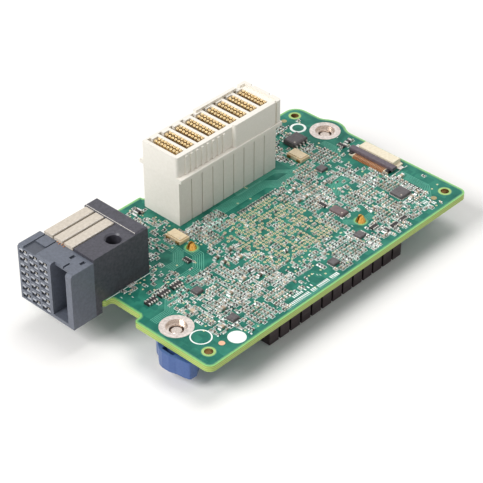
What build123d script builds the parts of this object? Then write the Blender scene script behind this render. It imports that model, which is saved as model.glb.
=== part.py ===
from build123d import *
import os

# Host bus adapter card. Places on the board are measured from its front left corner, heights from
# its top face. The origin of the whole part lies under its middle, on the plane of the fin tips.

# Circuit board
board_length = 92.8
board_width = 58.1
board_thickness = 1.6
board_corner_radius = 2.0
back_corner_radius = 3.6
lobe_radius = 5.65
lobe_blend_radius = 4.0
notch_start = 24.2
notch_length = 10.0
notch_depth = 2.65
notch_radius = 1.0
relief_start = 35.0
relief_end_inset = 10.8
relief_depth = 1.3
relief_flat = 0.1
pick_margin = 0.01

# Holes of the board
tooling_inset_x = 4.09
tooling_right_inset_x = 3.71
tooling_inset_y = 4.33
tooling_back_inset_y = 3.24
tooling_hole_radius = 1.1
front_screw_x = 5.33
front_screw_y = 15.73
rear_screw_inset_x = 3.73
rear_screw_inset_y = 13.92
screw_hole_radius = 2.6
pad_radius = 4.1
pad_thickness = 0.08

# Board to board connector: wafers, shroud and contacts
mezzanine_pad_gap = 17.446
mezzanine_back_inset = 3.67
mezzanine_depth = 12.24
wafer_count = 9
wafer_pitch = 3.706
wafer_joint = 0.12
wafer_height = 12.7
wafer_relief_width = 0.34
wafer_relief_depth = 0.3
end_wall = 0.55
end_post_reach = 1.5
end_groove_width = 0.8
end_groove_depth = 0.5
front_groove_width = 0.6
front_groove_depth = 0.45
front_groove_inset = 1.9
flange_thickness = 1.1
flange_front_reach = 0.75
flange_back_reach = 1.3
flange_rim_radius = 0.24
plateau_height = 19.6
rim_height = 20.3
rim_wall = 1.0
rim_back_lead = 1.6
high_front_reach = 0.45
overhang_lift = 0.65
low_columns = 5
low_wall_inset = 0.55
wall_corner_radius = 0.7
rib_width = 0.7
rib_reach = 0.35
rib_top_gap = 0.5
slot_width = 2.85
slot_length = 8.9
slot_shift_y = 0.2
slot_floor_thickness = 1.8
slot_key_width = 1.1
slot_key_reach = 0.9
rim_notch_width = 1.4
rim_notch_depth = 1.1
rim_notch_inset = 3.4
contacts_per_row = 8
contact_pitch = 1.03
contact_width = 0.66
contact_thickness = 0.7
contact_row_gap = 0.5
contact_drop = 0.05

# Edge connector: grey front housing, pale wafers, black guide block and rear bar
edge_y = 34.65
edge_width = 18.15
nose_reach = 9.0
nose_depth = 7.05
nose_bottom = -3.3
nose_top = 12.2
nose_edge_chamfer = 0.5
opening_rows = 7
opening_columns = 3
opening_pitch_y = 3.4
opening_pitch_z = 2.15
opening_width = 2.75
opening_height = 1.6
opening_depth = 4.5
opening_side_inset = 0.6
blade_length = 3.8
blade_thickness = 0.3
blade_height = 0.8
blade_spacing = 1.2
guide_pocket_inset = 1.85
guide_pocket_width = 5.1
guide_pocket_depth = 5.5
guide_pocket_bottom = 1.0
guide_pocket_top = 0.9
guide_pocket_mouth = 1.5
top_panel_width = 3.9
top_panel_length = 3.8
top_panel_depth = 0.4
top_panel_inset = 1.9
top_hole_length = 1.5
top_hole_width = 0.9
top_hole_depth = 0.6
top_hole_setback = 5.4
top_hole_spacing = 3.375
top_groove_width = 0.35
top_groove_depth = 0.3
top_slit_start = 0.5
top_slit_offset = 2.1
top_slit_length = 2.9
top_slit_width = 0.5
guide_block_width = 6.55
guide_block_top = 13.0
guide_hole_radius = 1.85
guide_hole_depth = 7.0
guide_hole_x = 6.95
guide_hole_y = 2.75
guide_hole_chamfer = 0.4
edge_body_length = 11.2
edge_wafer_count = 3
edge_wafer_gap = 0.45
edge_wafer_chamfer = 0.14
rear_bar_length = 4.05
rear_bar_top = 13.35
rear_bar_width = 17.2
rear_bar_chamfer = 0.35
board_edge_gap = 0.05
tail_rows = 6
tail_columns = 6
tail_size = 0.45
tail_length = 1.3
tail_pitch_x = 1.5
tail_pitch_y = 1.7

# Flexible cable connector
cable_right_inset = 1.9
cable_pad_gap = 7.68
cable_length = 13.0
cable_depth = 6.0
cable_base_height = 0.5
cable_block_depth = 3.0
cable_block_height = 1.75
cable_block_length = 11.4
cable_block_fillet = 0.3
cable_slot_height = 0.45
cable_slot_depth = 2.2
cable_slot_length = 10.4
lever_depth = 1.8
lever_thickness = 0.9
lever_nose_flat = 0.04
lever_edge_radius = 0.22
lever_overhang = 0.7
lever_clearance = 0.2
lever_pivot_height = 1.2
cable_contact_count = 20
cable_contact_pitch = 0.5
cable_contact_width = 0.24
cable_contact_thickness = 0.2
cable_tail_reach = 0.7
cable_tab_length = 1.2
cable_tab_width = 1.6
cable_tab_thickness = 0.25

# Controller chip, thermal pad and heatsink under the board
heatsink_width = 37.6
heatsink_offset_x = 1.1
base_thickness = 1.8
fin_count = 13
fin_pitch = 3.75
fin_thickness = 3.1
fin_height = 4.3
chip_offset_x = 0.53
chip_offset_y = 1.705
chip_size = 25.0
chip_substrate = 1.0
chip_lid_size = 20.0
chip_height = 2.3
thermal_pad_size = 18.0
thermal_pad_thickness = 0.3

# Push pins of the heatsink
pin_offset_x = 18.1
pin_offset_y = 11.25
pin_hole_radius = 1.2
pin_radius = 0.95
pin_tip_radius = 1.35
pin_tip_height = 1.6
pin_tip_end_radius = 0.6
pin_slit = 0.4
pin_head_radius = 2.2
pin_head_height = 0.8
pin_head_lift = 0.4
pin_well_radius = 3.4
pin_spring_radius = 1.6
pin_spring_wire = 0.4
pin_spring_turns = 4.0

# Captive screws with their ferrules, springs and finger grips
ferrule_recess = 0.8
ferrule_barrel_radius = 2.57
ferrule_flange_radius = 3.8
ferrule_flange_thickness = 0.6
ferrule_sleeve_radius = 2.1
ferrule_sleeve_length = 1.0
ferrule_bore_radius = 1.75
ferrule_lip_radius = 1.35
ferrule_lip_thickness = 0.5
screw_tip_recess = 1.05
screw_radius = 1.55
screw_tip_chamfer = 0.35
screw_neck_radius = 1.15
screw_seat_gap = 0.05
screw_head_radius = 3.1
screw_head_height = 1.8
screw_travel = 3.2
screw_travel_spare = 0.8
socket_radius = 1.25
socket_lobe_radius = 0.42
socket_lobes = 6
socket_depth = 1.2
screw_spring_radius = 2.5
screw_spring_wire = 0.42
screw_spring_turns = 4.0
spring_end_gap = 0.05
spring_wire_sides = 4
grip_height = 5.2
grip_plate = 1.0
grip_wall = 1.1
grip_boss_radius = 4.75
grip_bore_radius = 4.0
grip_hole_clearance = 0.05
grip_nose_points = [
    (-4.4, 1.6),
    (-5.5, 0.5),
    (-6.4, -0.7),
    (-6.8, -2.0),
    (-6.75, -4.2),
    (-6.2, -5.9),
    (-5.9, -8.0),
    (-5.45, -9.6),
    (-3.5, -9.75),
    (2.6, -6.0),
    (0.0, 0.0),
]
grip_nose_drop = 0.5
grip_pocket_u = -5.15
grip_pocket_v = -2.95
grip_pocket_width = 1.6
grip_pocket_length = 3.7
grip_pocket_depth = 3.2
grip_pocket_radius = 0.33
grip_corner_radius = 0.5

# Chips and other parts soldered to the top face
memory_pad_gap = 2.92
memory_back_inset = 12.0
memory_length = 4.9
memory_width = 3.9
memory_height = 1.5
memory_standoff = 0.15
memory_chamfer = 0.25
lead_pitch = 1.27
lead_width = 0.42
lead_thickness = 0.2
lead_reach = 1.05
lead_foot = 0.6
leads_per_side = 4
no_lead_size = 3.8
no_lead_height = 0.9
no_lead_pin_gap = 12.32
no_lead_offset_y = 0.15
no_lead_chamfer = 0.18
power_chip_offset_x = -0.93
power_chip_pin_gap = 2.75
power_chip_length = 4.3
power_chip_width = 2.4
power_chip_height = 0.85
power_chip_chamfer = 0.2
small_chip_size = 2.2
small_chip_height = 0.8
small_chip_chamfer = 0.15
left_chip_places = [(17.6, 21.2), (16.2, 8.3)]
front_chip_places = [(0.77, 5.3), (13.27, 7.7)]
right_chip_gap = 4.5
oscillator_length = 5.0
oscillator_width = 3.2
oscillator_base_height = 0.9
oscillator_lid_height = 0.35
oscillator_lid_margin = 0.3
left_oscillator_offset_x = 0.37
left_oscillator_pin_gap = 1.3
right_oscillator_memory_gap = 0.45
right_oscillator_offset_y = -4.9
array_length = 3.2
array_width = 1.6
array_height = 0.6
array_pitch = 4.1
array_count = 3
array_x = 11.7
array_y = 26.2
terminal_length = 0.5
terminal_width = 0.3
terminal_lift = 0.06
terminals_per_side = 4
capacitor_length = 1.0
capacitor_width = 0.5
capacitor_height = 0.5
capacitor_pitch = 2.6
capacitor_grid = 8
block_pitch_long = 1.7
block_pitch_short = 1.0
lying_chip_blocks = [
    (-21.93, -7.35, 2, 5),
    (-12.28, -8.35, 2, 3),
    (-19.73, -1.2, 2, 5),
    (-13.13, -4.4, 2, 4),
    (-5.93, 11.6, 4, 2),
    (14.07, 1.2, 2, 4),
    (12.47, -6.8, 2, 6),
    (12.07, 8.5, 2, 3),
    (23.47, -4.2, 3, 5),
    (34.47, -6.6, 3, 4),
]
standing_chip_blocks = [
    (-25.93, -4.2, 4, 2),
    (-12.33, 10.2, 5, 3),
    (19.67, 6.8, 5, 3),
    (28.67, -4.8, 4, 3),
    (28.47, -11.2, 4, 3),
]
lying_front_blocks = [
    (-24.93, 4.8, 4, 5),
    (7.07, 6.2, 4, 4),
    (23.07, 8.4, 3, 4),
]
standing_front_blocks = [(-17.33, 6.4, 6, 3)]
standing_left_blocks = [(11.75, 12.3, 2, 3)]
lying_memory_blocks = [(-6.0, 2.5, 2, 5), (-1.2, 7.1, 4, 3)]
lying_right_blocks = [(4.7, 3.5, 4, 5)]
standing_right_blocks = [(-3.7, 2.3, 5, 3)]
bulk_length = 1.7
bulk_width = 0.9
bulk_height = 0.85
bulk_offsets = [
    (-17.13, 3.8),
    (-17.03, 1.4),
    (-12.83, 3.8),
    (-13.03, 0.0),
    (-24.53, -7.9),
    (-14.93, -8.2),
    (-18.73, -6.3),
    (15.87, 9.4),
    (16.07, 5.0),
    (13.77, 5.2),
]
left_bulk_places = [(17.0, 12.3), (12.1, 7.8)]
resistor_length = 1.0
resistor_width = 0.5
resistor_height = 0.35
resistor_pitch = 0.9
resistor_count = 16
resistor_row_offset_x = 6.67
resistor_row_gap = 2.4

# Worked out from the sizes above
underside = -board_thickness
rear_screw_x = board_length - rear_screw_inset_x
rear_screw_y = board_width - rear_screw_inset_y
chip_bottom = underside - chip_height
base_top = chip_bottom - thermal_pad_thickness
base_bottom = base_top - base_thickness
fin_bottom = base_bottom - fin_height
heatsink_length = (fin_count - 1) * fin_pitch + fin_thickness
mezzanine_length = wafer_count * wafer_pitch + 2 * end_wall
rear_pad_left = rear_screw_x - pad_radius
mezzanine_x = rear_pad_left - mezzanine_pad_gap - mezzanine_length
mezzanine_mid_x = mezzanine_x + mezzanine_length / 2
mezzanine_back = board_width - mezzanine_back_inset
mezzanine_front = mezzanine_back - mezzanine_depth
chip_x = board_length / 2 + chip_offset_x
chip_y = mezzanine_front / 2 + chip_offset_y
heatsink_x = chip_x + heatsink_offset_x
left_pin_x = chip_x - pin_offset_x
left_pin_y = chip_y + pin_offset_y
right_pin_x = chip_x + pin_offset_x
right_pin_y = chip_y - pin_offset_y
cable_y = rear_screw_y - pad_radius - cable_pad_gap - cable_length
memory_x = rear_pad_left - memory_pad_gap - memory_length / 2
memory_y = board_width - memory_back_inset
no_lead_x = right_pin_x + pin_tip_radius + no_lead_pin_gap + no_lead_size / 2
no_lead_y = right_pin_y + no_lead_offset_y
power_chip_x = right_pin_x + power_chip_offset_x
power_chip_y = right_pin_y + pin_tip_radius + power_chip_pin_gap + power_chip_length / 2
left_oscillator_x = left_pin_x + left_oscillator_offset_x
left_oscillator_y = left_pin_y + pin_tip_radius + left_oscillator_pin_gap + oscillator_length / 2
right_oscillator_x = memory_x - memory_length / 2 - right_oscillator_memory_gap - oscillator_width / 2
right_oscillator_y = memory_y + right_oscillator_offset_y
right_chip_x = right_oscillator_x
right_chip_y = right_oscillator_y - oscillator_length / 2 - right_chip_gap - small_chip_size / 2
capacitor_field_back = chip_y + (capacitor_grid - 1) / 2 * capacitor_pitch + capacitor_length / 2
resistor_row_x = chip_x + resistor_row_offset_x
resistor_row_y = capacitor_field_back + resistor_row_gap + resistor_length / 2
overall_left = -nose_reach
grip_nose_reach = max(-u for u, v in grip_nose_points)
overall_right = max(rear_screw_x + grip_nose_reach, rear_screw_x + lobe_radius, board_length)

left_edge = -(overall_left + overall_right) / 2
front_edge = -board_width / 2
top_face = -fin_bottom

deck = Plane(origin=(left_edge, front_edge, top_face))


def front_plane(y):
    return Plane(origin=(left_edge, front_edge + y, top_face), x_dir=(1, 0, 0), z_dir=(0, -1, 0))


def end_plane(x):
    return Plane(origin=(left_edge + x, front_edge, top_face), x_dir=(0, 1, 0), z_dir=(1, 0, 0))


def axis_plane(x, y):
    # Plane through an upright axis, for profiles given as radius and height
    return Plane(origin=(left_edge + x, front_edge + y, top_face), x_dir=(1, 0, 0), z_dir=(0, -1, 0))


def upright_axis(x, y):
    return Axis((left_edge + x, front_edge + y, top_face), (0, 0, 1))


def save(builder, name):
    builder.part.label = name
    export_step(builder.part, f"parts/{name}.step")


os.makedirs("parts", exist_ok=True)

screw_places = [(front_screw_x, front_screw_y), (rear_screw_x, rear_screw_y)]
tooling_places = [
    (tooling_inset_x, tooling_inset_y),
    (board_length - tooling_right_inset_x, tooling_inset_y),
    (board_length - tooling_right_inset_x, board_width - tooling_back_inset_y),
]
pin_places = [(left_pin_x, left_pin_y), (right_pin_x, right_pin_y)]
oscillator_places = [(left_oscillator_x, left_oscillator_y), (right_oscillator_x, right_oscillator_y)]
small_chip_places = left_chip_places + [(chip_x + x, y) for x, y in front_chip_places]
small_chip_places.append((right_chip_x, right_chip_y))
bulk_places = left_bulk_places + [(chip_x + x, chip_y + y) for x, y in bulk_offsets]

# Circuit board: rounded plate with a lobe at the rear screw, a notched left edge and a relieved back edge
relief_length = board_length - relief_end_inset - relief_start
relief_front = board_width - relief_depth
notch_end = notch_start + notch_length
with BuildPart() as circuit_board:
    with BuildSketch(deck.offset(underside)) as outline:
        Rectangle(board_length, board_width, align=(Align.MIN, Align.MIN))
        fillet(outline.vertices().group_by(Axis.Y)[0], board_corner_radius)
        fillet(outline.vertices().group_by(Axis.Y)[-1].sort_by(Axis.X)[0], board_corner_radius)
        fillet(outline.vertices().group_by(Axis.Y)[-1].sort_by(Axis.X)[-1], back_corner_radius)
        with Locations((0, notch_start)):
            Rectangle(2 * notch_depth, notch_length, align=(Align.CENTER, Align.MIN), mode=Mode.SUBTRACT)
        notch_corners = outline.vertices().filter_by(
            lambda v: v.X < notch_depth + pick_margin
            and notch_start - pick_margin < v.Y < notch_end + pick_margin
        )
        fillet(notch_corners, notch_radius)
        with Locations((relief_start, board_width)):
            Rectangle(relief_length, 2 * relief_depth, align=(Align.MIN, Align.CENTER), mode=Mode.SUBTRACT)
        relief_corners = outline.vertices().filter_by(
            lambda v: v.Y > relief_front - pick_margin
            and relief_start - pick_margin < v.X < relief_start + relief_length + pick_margin
        )
        fillet(relief_corners, (relief_depth - relief_flat) / 2)
        with Locations((rear_screw_x, rear_screw_y)):
            Circle(lobe_radius)
        lobe_corners = outline.vertices().filter_by(
            lambda v: v.X > board_length - pick_margin and abs(v.Y - rear_screw_y) < lobe_radius
        )
        fillet(lobe_corners, lobe_blend_radius)
        with Locations(*tooling_places):
            Circle(tooling_hole_radius, mode=Mode.SUBTRACT)
        with Locations(*screw_places):
            Circle(screw_hole_radius, mode=Mode.SUBTRACT)
        with Locations(*pin_places):
            Circle(pin_hole_radius, mode=Mode.SUBTRACT)
    extrude(amount=board_thickness)
save(circuit_board, "circuit_board")

# Plated pads round the two screw holes
with BuildPart() as screw_pads:
    with BuildSketch(deck):
        with Locations(*screw_places):
            Circle(pad_radius)
            Circle(screw_hole_radius, mode=Mode.SUBTRACT)
    extrude(amount=pad_thickness)
save(screw_pads, "screw_pads")

# Board to board connector
mezzanine_mid_y = (mezzanine_front + mezzanine_back) / 2
first_column_x = mezzanine_x + end_wall + wafer_pitch / 2
columns = [first_column_x + i * wafer_pitch for i in range(wafer_count)]

# Row of wafers, parted by narrow joints, with a shallow relief down each joint at the front and back
with BuildPart() as mezzanine_wafers:
    with BuildSketch(deck):
        with Locations((mezzanine_mid_x, mezzanine_mid_y)):
            Rectangle(mezzanine_length, mezzanine_depth)
            with GridLocations(wafer_pitch, 0, wafer_count - 1, 1):
                Rectangle(wafer_joint, 2 * mezzanine_depth, mode=Mode.SUBTRACT)
            with GridLocations(wafer_pitch, mezzanine_depth, wafer_count - 1, 2):
                Rectangle(wafer_relief_width, 2 * wafer_relief_depth, mode=Mode.SUBTRACT)
    extrude(amount=wafer_height)
save(mezzanine_wafers, "mezzanine_wafers")

# Shroud: flange on the wafers, low part with an inset ribbed front, high part with a rim and a grooved front
flange_top = wafer_height + flange_thickness
low_length = end_wall + low_columns * wafer_pitch
high_length = mezzanine_length - low_length + end_post_reach
high_x = mezzanine_x + low_length
low_front = mezzanine_front + low_wall_inset
high_front = mezzanine_front - high_front_reach
high_depth = mezzanine_back - high_front
slot_mid_y = mezzanine_mid_y + slot_shift_y
slot_floor = flange_top + slot_floor_thickness
slot_depth = plateau_height - slot_floor
with BuildPart() as mezzanine_shroud:
    with BuildSketch(deck.offset(wafer_height)):
        with Locations((mezzanine_x, mezzanine_front - flange_front_reach)):
            flange_depth = mezzanine_depth + flange_front_reach + flange_back_reach
            Rectangle(low_length, flange_depth, align=(Align.MIN, Align.MIN))
        with Locations((mezzanine_x, mezzanine_front - flange_front_reach)):
            lip_depth = mezzanine_depth + flange_front_reach
            Rectangle(low_length + high_length, lip_depth, align=(Align.MIN, Align.MIN))
    extrude(amount=flange_thickness)
    flange_rims = (
        mezzanine_shroud.edges()
        .filter_by(Axis.X)
        .filter_by(lambda e: e.center().X < left_edge + high_x)
        .group_by(Axis.Z)[-1]
    )
    fillet(flange_rims, flange_rim_radius)
    with BuildSketch(deck.offset(flange_top)) as low_block:
        with Locations((mezzanine_x, low_front)):
            Rectangle(low_length, mezzanine_back - low_front, align=(Align.MIN, Align.MIN))
        fillet(low_block.vertices().group_by(Axis.X)[0].sort_by(Axis.Y)[0], wall_corner_radius)
    extrude(amount=plateau_height - flange_top)
    with BuildSketch(deck.offset(flange_top)):
        with Locations((mezzanine_x + low_length / 2, low_front)):
            with GridLocations(wafer_pitch / 2, 0, 2 * low_columns - 2, 1):
                Rectangle(rib_width, 2 * rib_reach)
    extrude(amount=plateau_height - rib_top_gap - flange_top)
    with BuildSketch(deck.offset(wafer_height + overhang_lift)) as high_block:
        with Locations((high_x, high_front)):
            Rectangle(high_length, high_depth, align=(Align.MIN, Align.MIN))
        fillet(high_block.vertices().group_by(Axis.Y)[0], wall_corner_radius)
    extrude(amount=plateau_height - wafer_height - overhang_lift)
    with BuildSketch(deck.offset(plateau_height)) as rim:
        with Locations((high_x, high_front)):
            Rectangle(high_length, high_depth, align=(Align.MIN, Align.MIN))
        fillet(rim.vertices().group_by(Axis.Y)[0], wall_corner_radius)
        with Locations((high_x, high_front + rim_wall)):
            Rectangle(
                high_length - rim_wall,
                high_depth - 2 * rim_wall,
                align=(Align.MIN, Align.MIN),
                mode=Mode.SUBTRACT,
            )
        with Locations((high_x, mezzanine_back)):
            Rectangle(rim_back_lead, rim_wall, align=(Align.MAX, Align.MAX))
        with Locations((high_x + high_length - rim_notch_inset, mezzanine_back)):
            Rectangle(rim_notch_width, 2 * rim_notch_depth, mode=Mode.SUBTRACT)
    extrude(amount=rim_height - plateau_height)
    with BuildSketch(deck.offset(wafer_height)):
        with Locations((high_x + high_length, mezzanine_mid_y)):
            with GridLocations(0, mezzanine_depth / 2, 1, 2):
                Rectangle(2 * end_groove_depth, end_groove_width)
    extrude(amount=rim_height - wafer_height, mode=Mode.SUBTRACT)
    with BuildSketch(deck.offset(flange_top)):
        with Locations((high_x + high_length - front_groove_inset, high_front)):
            Rectangle(front_groove_width, 2 * front_groove_depth)
    extrude(amount=rim_height - flange_top, mode=Mode.SUBTRACT)
    with BuildSketch(deck.offset(plateau_height)):
        with Locations(*[(column, slot_mid_y) for column in columns]):
            Rectangle(slot_width, slot_length)
        slot_back = slot_mid_y + slot_length / 2
        with Locations(*[(column - slot_width / 2 + slot_key_width / 2, slot_back) for column in columns]):
            Rectangle(slot_key_width, 2 * slot_key_reach)
    extrude(amount=-slot_depth, mode=Mode.SUBTRACT)
save(mezzanine_shroud, "mezzanine_shroud")

# Contacts: two rows in each slot, standing on the slot's floor against its right wall
with BuildPart() as mezzanine_contacts:
    with BuildSketch(deck.offset(slot_floor)):
        for column in columns:
            wall = column + slot_width / 2
            rows = [
                wall - contact_thickness / 2,
                wall - contact_thickness - contact_row_gap - contact_thickness / 2,
            ]
            for row in rows:
                with Locations((row, slot_mid_y)):
                    with GridLocations(0, contact_pitch, 1, contacts_per_row):
                        Rectangle(contact_thickness, contact_width)
    extrude(amount=slot_depth - contact_drop)
save(mezzanine_contacts, "mezzanine_contacts")

# Edge connector, grey front housing: contact openings, guide pocket and a panelled top
nose_front = -nose_reach
nose_back = nose_front + nose_depth
edge_back_y = edge_y + edge_width
nose_height = nose_top - nose_bottom
nose_mid_z = (nose_top + nose_bottom) / 2
field_width = (opening_columns - 1) * opening_pitch_y + opening_width
field_mid_y = edge_back_y - opening_side_inset - field_width / 2
pocket_y = edge_y + guide_pocket_inset
pocket_bottom = nose_bottom + guide_pocket_bottom
pocket_top = nose_top - guide_pocket_top
with BuildPart() as front_housing:
    with BuildSketch(end_plane(nose_front)):
        with Locations((edge_y, nose_bottom)):
            Rectangle(edge_width, nose_height, align=(Align.MIN, Align.MIN))
    extrude(amount=nose_depth)
    top_front_edge = front_housing.edges().group_by(Axis.X)[0].filter_by(Axis.Y).sort_by(Axis.Z)[-1]
    chamfer(top_front_edge, nose_edge_chamfer)
    with BuildSketch(end_plane(nose_front)):
        with Locations((field_mid_y, nose_mid_z)):
            with GridLocations(opening_pitch_y, opening_pitch_z, opening_columns, opening_rows):
                Rectangle(opening_width, opening_height)
    extrude(amount=opening_depth, mode=Mode.SUBTRACT)
    with BuildSketch(end_plane(nose_front)):
        with Locations((pocket_y, pocket_bottom)):
            Rectangle(guide_pocket_width, pocket_top - pocket_bottom, align=(Align.MIN, Align.MIN))
    extrude(amount=guide_pocket_depth, mode=Mode.SUBTRACT)
    with BuildSketch(deck.offset(nose_top)):
        with Locations((nose_front, pocket_y)):
            Rectangle(2 * guide_pocket_mouth, guide_pocket_width, align=(Align.CENTER, Align.MIN))
    extrude(amount=-guide_pocket_top, mode=Mode.SUBTRACT)
    with BuildSketch(deck.offset(nose_top)):
        with Locations((nose_front, edge_back_y - top_panel_inset)):
            Rectangle(2 * top_panel_length, top_panel_width, align=(Align.CENTER, Align.MAX))
    extrude(amount=-top_panel_depth, mode=Mode.SUBTRACT)
    with BuildSketch(deck.offset(nose_top)):
        with Locations(
            (nose_front + top_hole_setback, pocket_y),
            (nose_front + top_hole_setback, pocket_y + top_hole_spacing),
        ):
            Rectangle(top_hole_length, top_hole_width)
        with Locations((nose_front + top_slit_start, pocket_y + top_slit_offset)):
            Rectangle(top_slit_length, top_slit_width, align=(Align.MIN, Align.CENTER))
    extrude(amount=-top_hole_depth, mode=Mode.SUBTRACT)
    with BuildSketch(deck.offset(nose_top)):
        panel_back = edge_back_y - top_panel_inset
        with Locations((nose_front, panel_back), (nose_front, panel_back - top_panel_width)):
            Rectangle(nose_depth, top_groove_width, align=(Align.MIN, Align.CENTER))
    extrude(amount=-top_groove_depth, mode=Mode.SUBTRACT)
save(front_housing, "front_housing")

# Pairs of contact blades, standing on the back wall of each opening
with BuildPart() as front_contacts:
    with BuildSketch(end_plane(nose_front + opening_depth)):
        with Locations((field_mid_y, nose_mid_z)):
            with GridLocations(opening_pitch_y, opening_pitch_z, opening_columns, opening_rows):
                with GridLocations(blade_spacing, 0, 2, 1):
                    Rectangle(blade_thickness, blade_height)
    extrude(amount=-blade_length)
save(front_contacts, "front_contacts")

# Black guide block: stands on the board, with a lip in front of the board's edge and a round hole in its top
body_end = edge_body_length
lip_back = -board_edge_gap
block_profile = [
    (nose_back, nose_bottom),
    (lip_back, nose_bottom),
    (lip_back, 0),
    (body_end, 0),
    (body_end, guide_block_top),
    (nose_back, guide_block_top),
]
with BuildPart() as guide_block:
    with BuildSketch(front_plane(edge_y)):
        with BuildLine():
            Polyline(*block_profile, close=True)
        make_face()
    extrude(amount=-guide_block_width)
    with BuildSketch(deck.offset(guide_block_top)):
        with Locations((guide_hole_x, edge_y + guide_hole_y)):
            Circle(guide_hole_radius)
    extrude(amount=-guide_hole_depth, mode=Mode.SUBTRACT)
    hole_mouth = guide_block.edges().filter_by(GeomType.CIRCLE).sort_by(Axis.Z)[-1]
    chamfer(hole_mouth, guide_hole_chamfer)
save(guide_block, "guide_block")

# Pale wafers between the front housing and the rear bar, parted by open gaps
wafers_y = edge_y + guide_block_width + edge_wafer_gap
wafers_width = rear_bar_width - guide_block_width - edge_wafer_gap
edge_wafer_pitch = wafers_width / edge_wafer_count
wafers_mid_y = wafers_y + (wafers_width - edge_wafer_gap) / 2
with BuildPart() as edge_wafers:
    for i in range(edge_wafer_count):
        with BuildSketch(front_plane(wafers_y + i * edge_wafer_pitch)):
            with BuildLine():
                Polyline(*block_profile, close=True)
            make_face()
        extrude(amount=edge_wafer_gap - edge_wafer_pitch)
    chamfer(edge_wafers.edges().filter_by(Axis.X).group_by(Axis.Z)[-1], edge_wafer_chamfer)
save(edge_wafers, "edge_wafers")

# Black rear bar across the ends of the wafers and the guide block
with BuildPart() as rear_bar:
    with BuildSketch(deck):
        with Locations((body_end, edge_y)):
            Rectangle(rear_bar_length, rear_bar_width, align=(Align.MIN, Align.MIN))
    extrude(amount=rear_bar_top)
    chamfer(rear_bar.faces().sort_by(Axis.Z)[-1].edges(), rear_bar_chamfer)
save(rear_bar, "rear_bar")

# Contact tails of the edge connector under the board
with BuildPart() as edge_tails:
    with BuildSketch(deck.offset(underside)):
        with Locations((body_end / 2, wafers_mid_y)):
            with GridLocations(tail_pitch_x, tail_pitch_y, tail_columns, tail_rows):
                Rectangle(tail_size, tail_size)
    extrude(amount=-tail_length)
save(edge_tails, "edge_tails")

# Flexible cable connector: low base and an outer block with the cable slot
cable_outer_x = board_length - cable_right_inset
cable_inner_x = cable_outer_x - cable_depth
cable_block_x = cable_outer_x - cable_block_depth
cable_mid_y = cable_y + cable_length / 2
with BuildPart() as cable_housing:
    with BuildSketch(deck):
        with Locations((cable_inner_x, cable_mid_y)):
            Rectangle(cable_depth, cable_length, align=(Align.MIN, Align.CENTER))
    extrude(amount=cable_base_height)
    with BuildSketch(deck):
        with Locations((cable_outer_x, cable_mid_y)):
            Rectangle(cable_block_depth, cable_block_length, align=(Align.MAX, Align.CENTER))
    extrude(amount=cable_block_height)
    with BuildSketch(end_plane(cable_outer_x)):
        with Locations((cable_mid_y, cable_base_height + cable_slot_height / 2)):
            Rectangle(cable_slot_length, cable_slot_height)
    extrude(amount=-cable_slot_depth, mode=Mode.SUBTRACT)
    outer_rim = cable_housing.edges().filter_by(Axis.Y).group_by(Axis.Z)[-1].sort_by(Axis.X)[-1]
    fillet(outer_rim, cable_block_fillet)
save(cable_housing, "cable_housing")

# Flip lever across the base, lying flat, with its pivot near the outer block
lever_outer_x = cable_block_x - lever_clearance
lever_pivot_x = lever_outer_x - lever_thickness / 2
lever_bottom = lever_pivot_height - lever_thickness / 2
lever_top = lever_pivot_height + lever_thickness / 2
lever_inner_x = lever_outer_x - lever_depth
with BuildPart() as cable_lever:
    with BuildSketch(front_plane(cable_mid_y)) as lever_profile:
        with Locations((lever_inner_x, lever_bottom)):
            Rectangle(lever_depth, lever_thickness, align=(Align.MIN, Align.MIN))
        fillet(lever_profile.vertices().group_by(Axis.X)[-1], (lever_thickness - lever_nose_flat) / 2)
        fillet(lever_profile.vertices().group_by(Axis.X)[0].sort_by(Axis.Y)[-1], lever_edge_radius)
    extrude(amount=cable_length / 2 + lever_overhang, both=True)
save(cable_lever, "cable_lever")

# Contacts of the cable connector: a tail on the board and a beam along the base, under the lever
with BuildPart() as cable_contacts:
    with BuildSketch(deck.offset(cable_base_height)):
        with Locations((cable_inner_x, cable_mid_y)):
            with GridLocations(0, cable_contact_pitch, 1, cable_contact_count):
                Rectangle(cable_block_x - cable_inner_x, cable_contact_width, align=(Align.MIN, Align.CENTER))
    extrude(amount=cable_contact_thickness)
    with BuildSketch(deck):
        with Locations((cable_inner_x, cable_mid_y)):
            with GridLocations(0, cable_contact_pitch, 1, cable_contact_count):
                Rectangle(cable_contact_thickness, cable_contact_width, align=(Align.MAX, Align.CENTER))
    extrude(amount=cable_base_height + cable_contact_thickness)
    with BuildSketch(deck):
        with Locations((cable_inner_x, cable_mid_y)):
            with GridLocations(0, cable_contact_pitch, 1, cable_contact_count):
                Rectangle(cable_tail_reach, cable_contact_width, align=(Align.MAX, Align.CENTER))
    extrude(amount=cable_contact_thickness)
save(cable_contacts, "cable_contacts")

# Solder tabs at the two ends of the cable connector
with BuildPart() as cable_tabs:
    with BuildSketch(deck):
        with Locations((cable_outer_x - cable_tab_width, cable_mid_y)):
            with GridLocations(0, cable_length + cable_tab_length, 1, 2):
                Rectangle(cable_tab_width, cable_tab_length)
    extrude(amount=cable_tab_thickness)
save(cable_tabs, "cable_tabs")

# Controller chip under the board: substrate and lid
with BuildPart() as controller_chip:
    with BuildSketch(deck.offset(underside)):
        with Locations((chip_x, chip_y)):
            Rectangle(chip_size, chip_size)
    extrude(amount=-chip_substrate)
    with BuildSketch(deck.offset(underside - chip_substrate)):
        with Locations((chip_x, chip_y)):
            RectangleRounded(chip_lid_size, chip_lid_size, board_corner_radius)
    extrude(amount=chip_substrate - chip_height)
save(controller_chip, "controller_chip")

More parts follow.
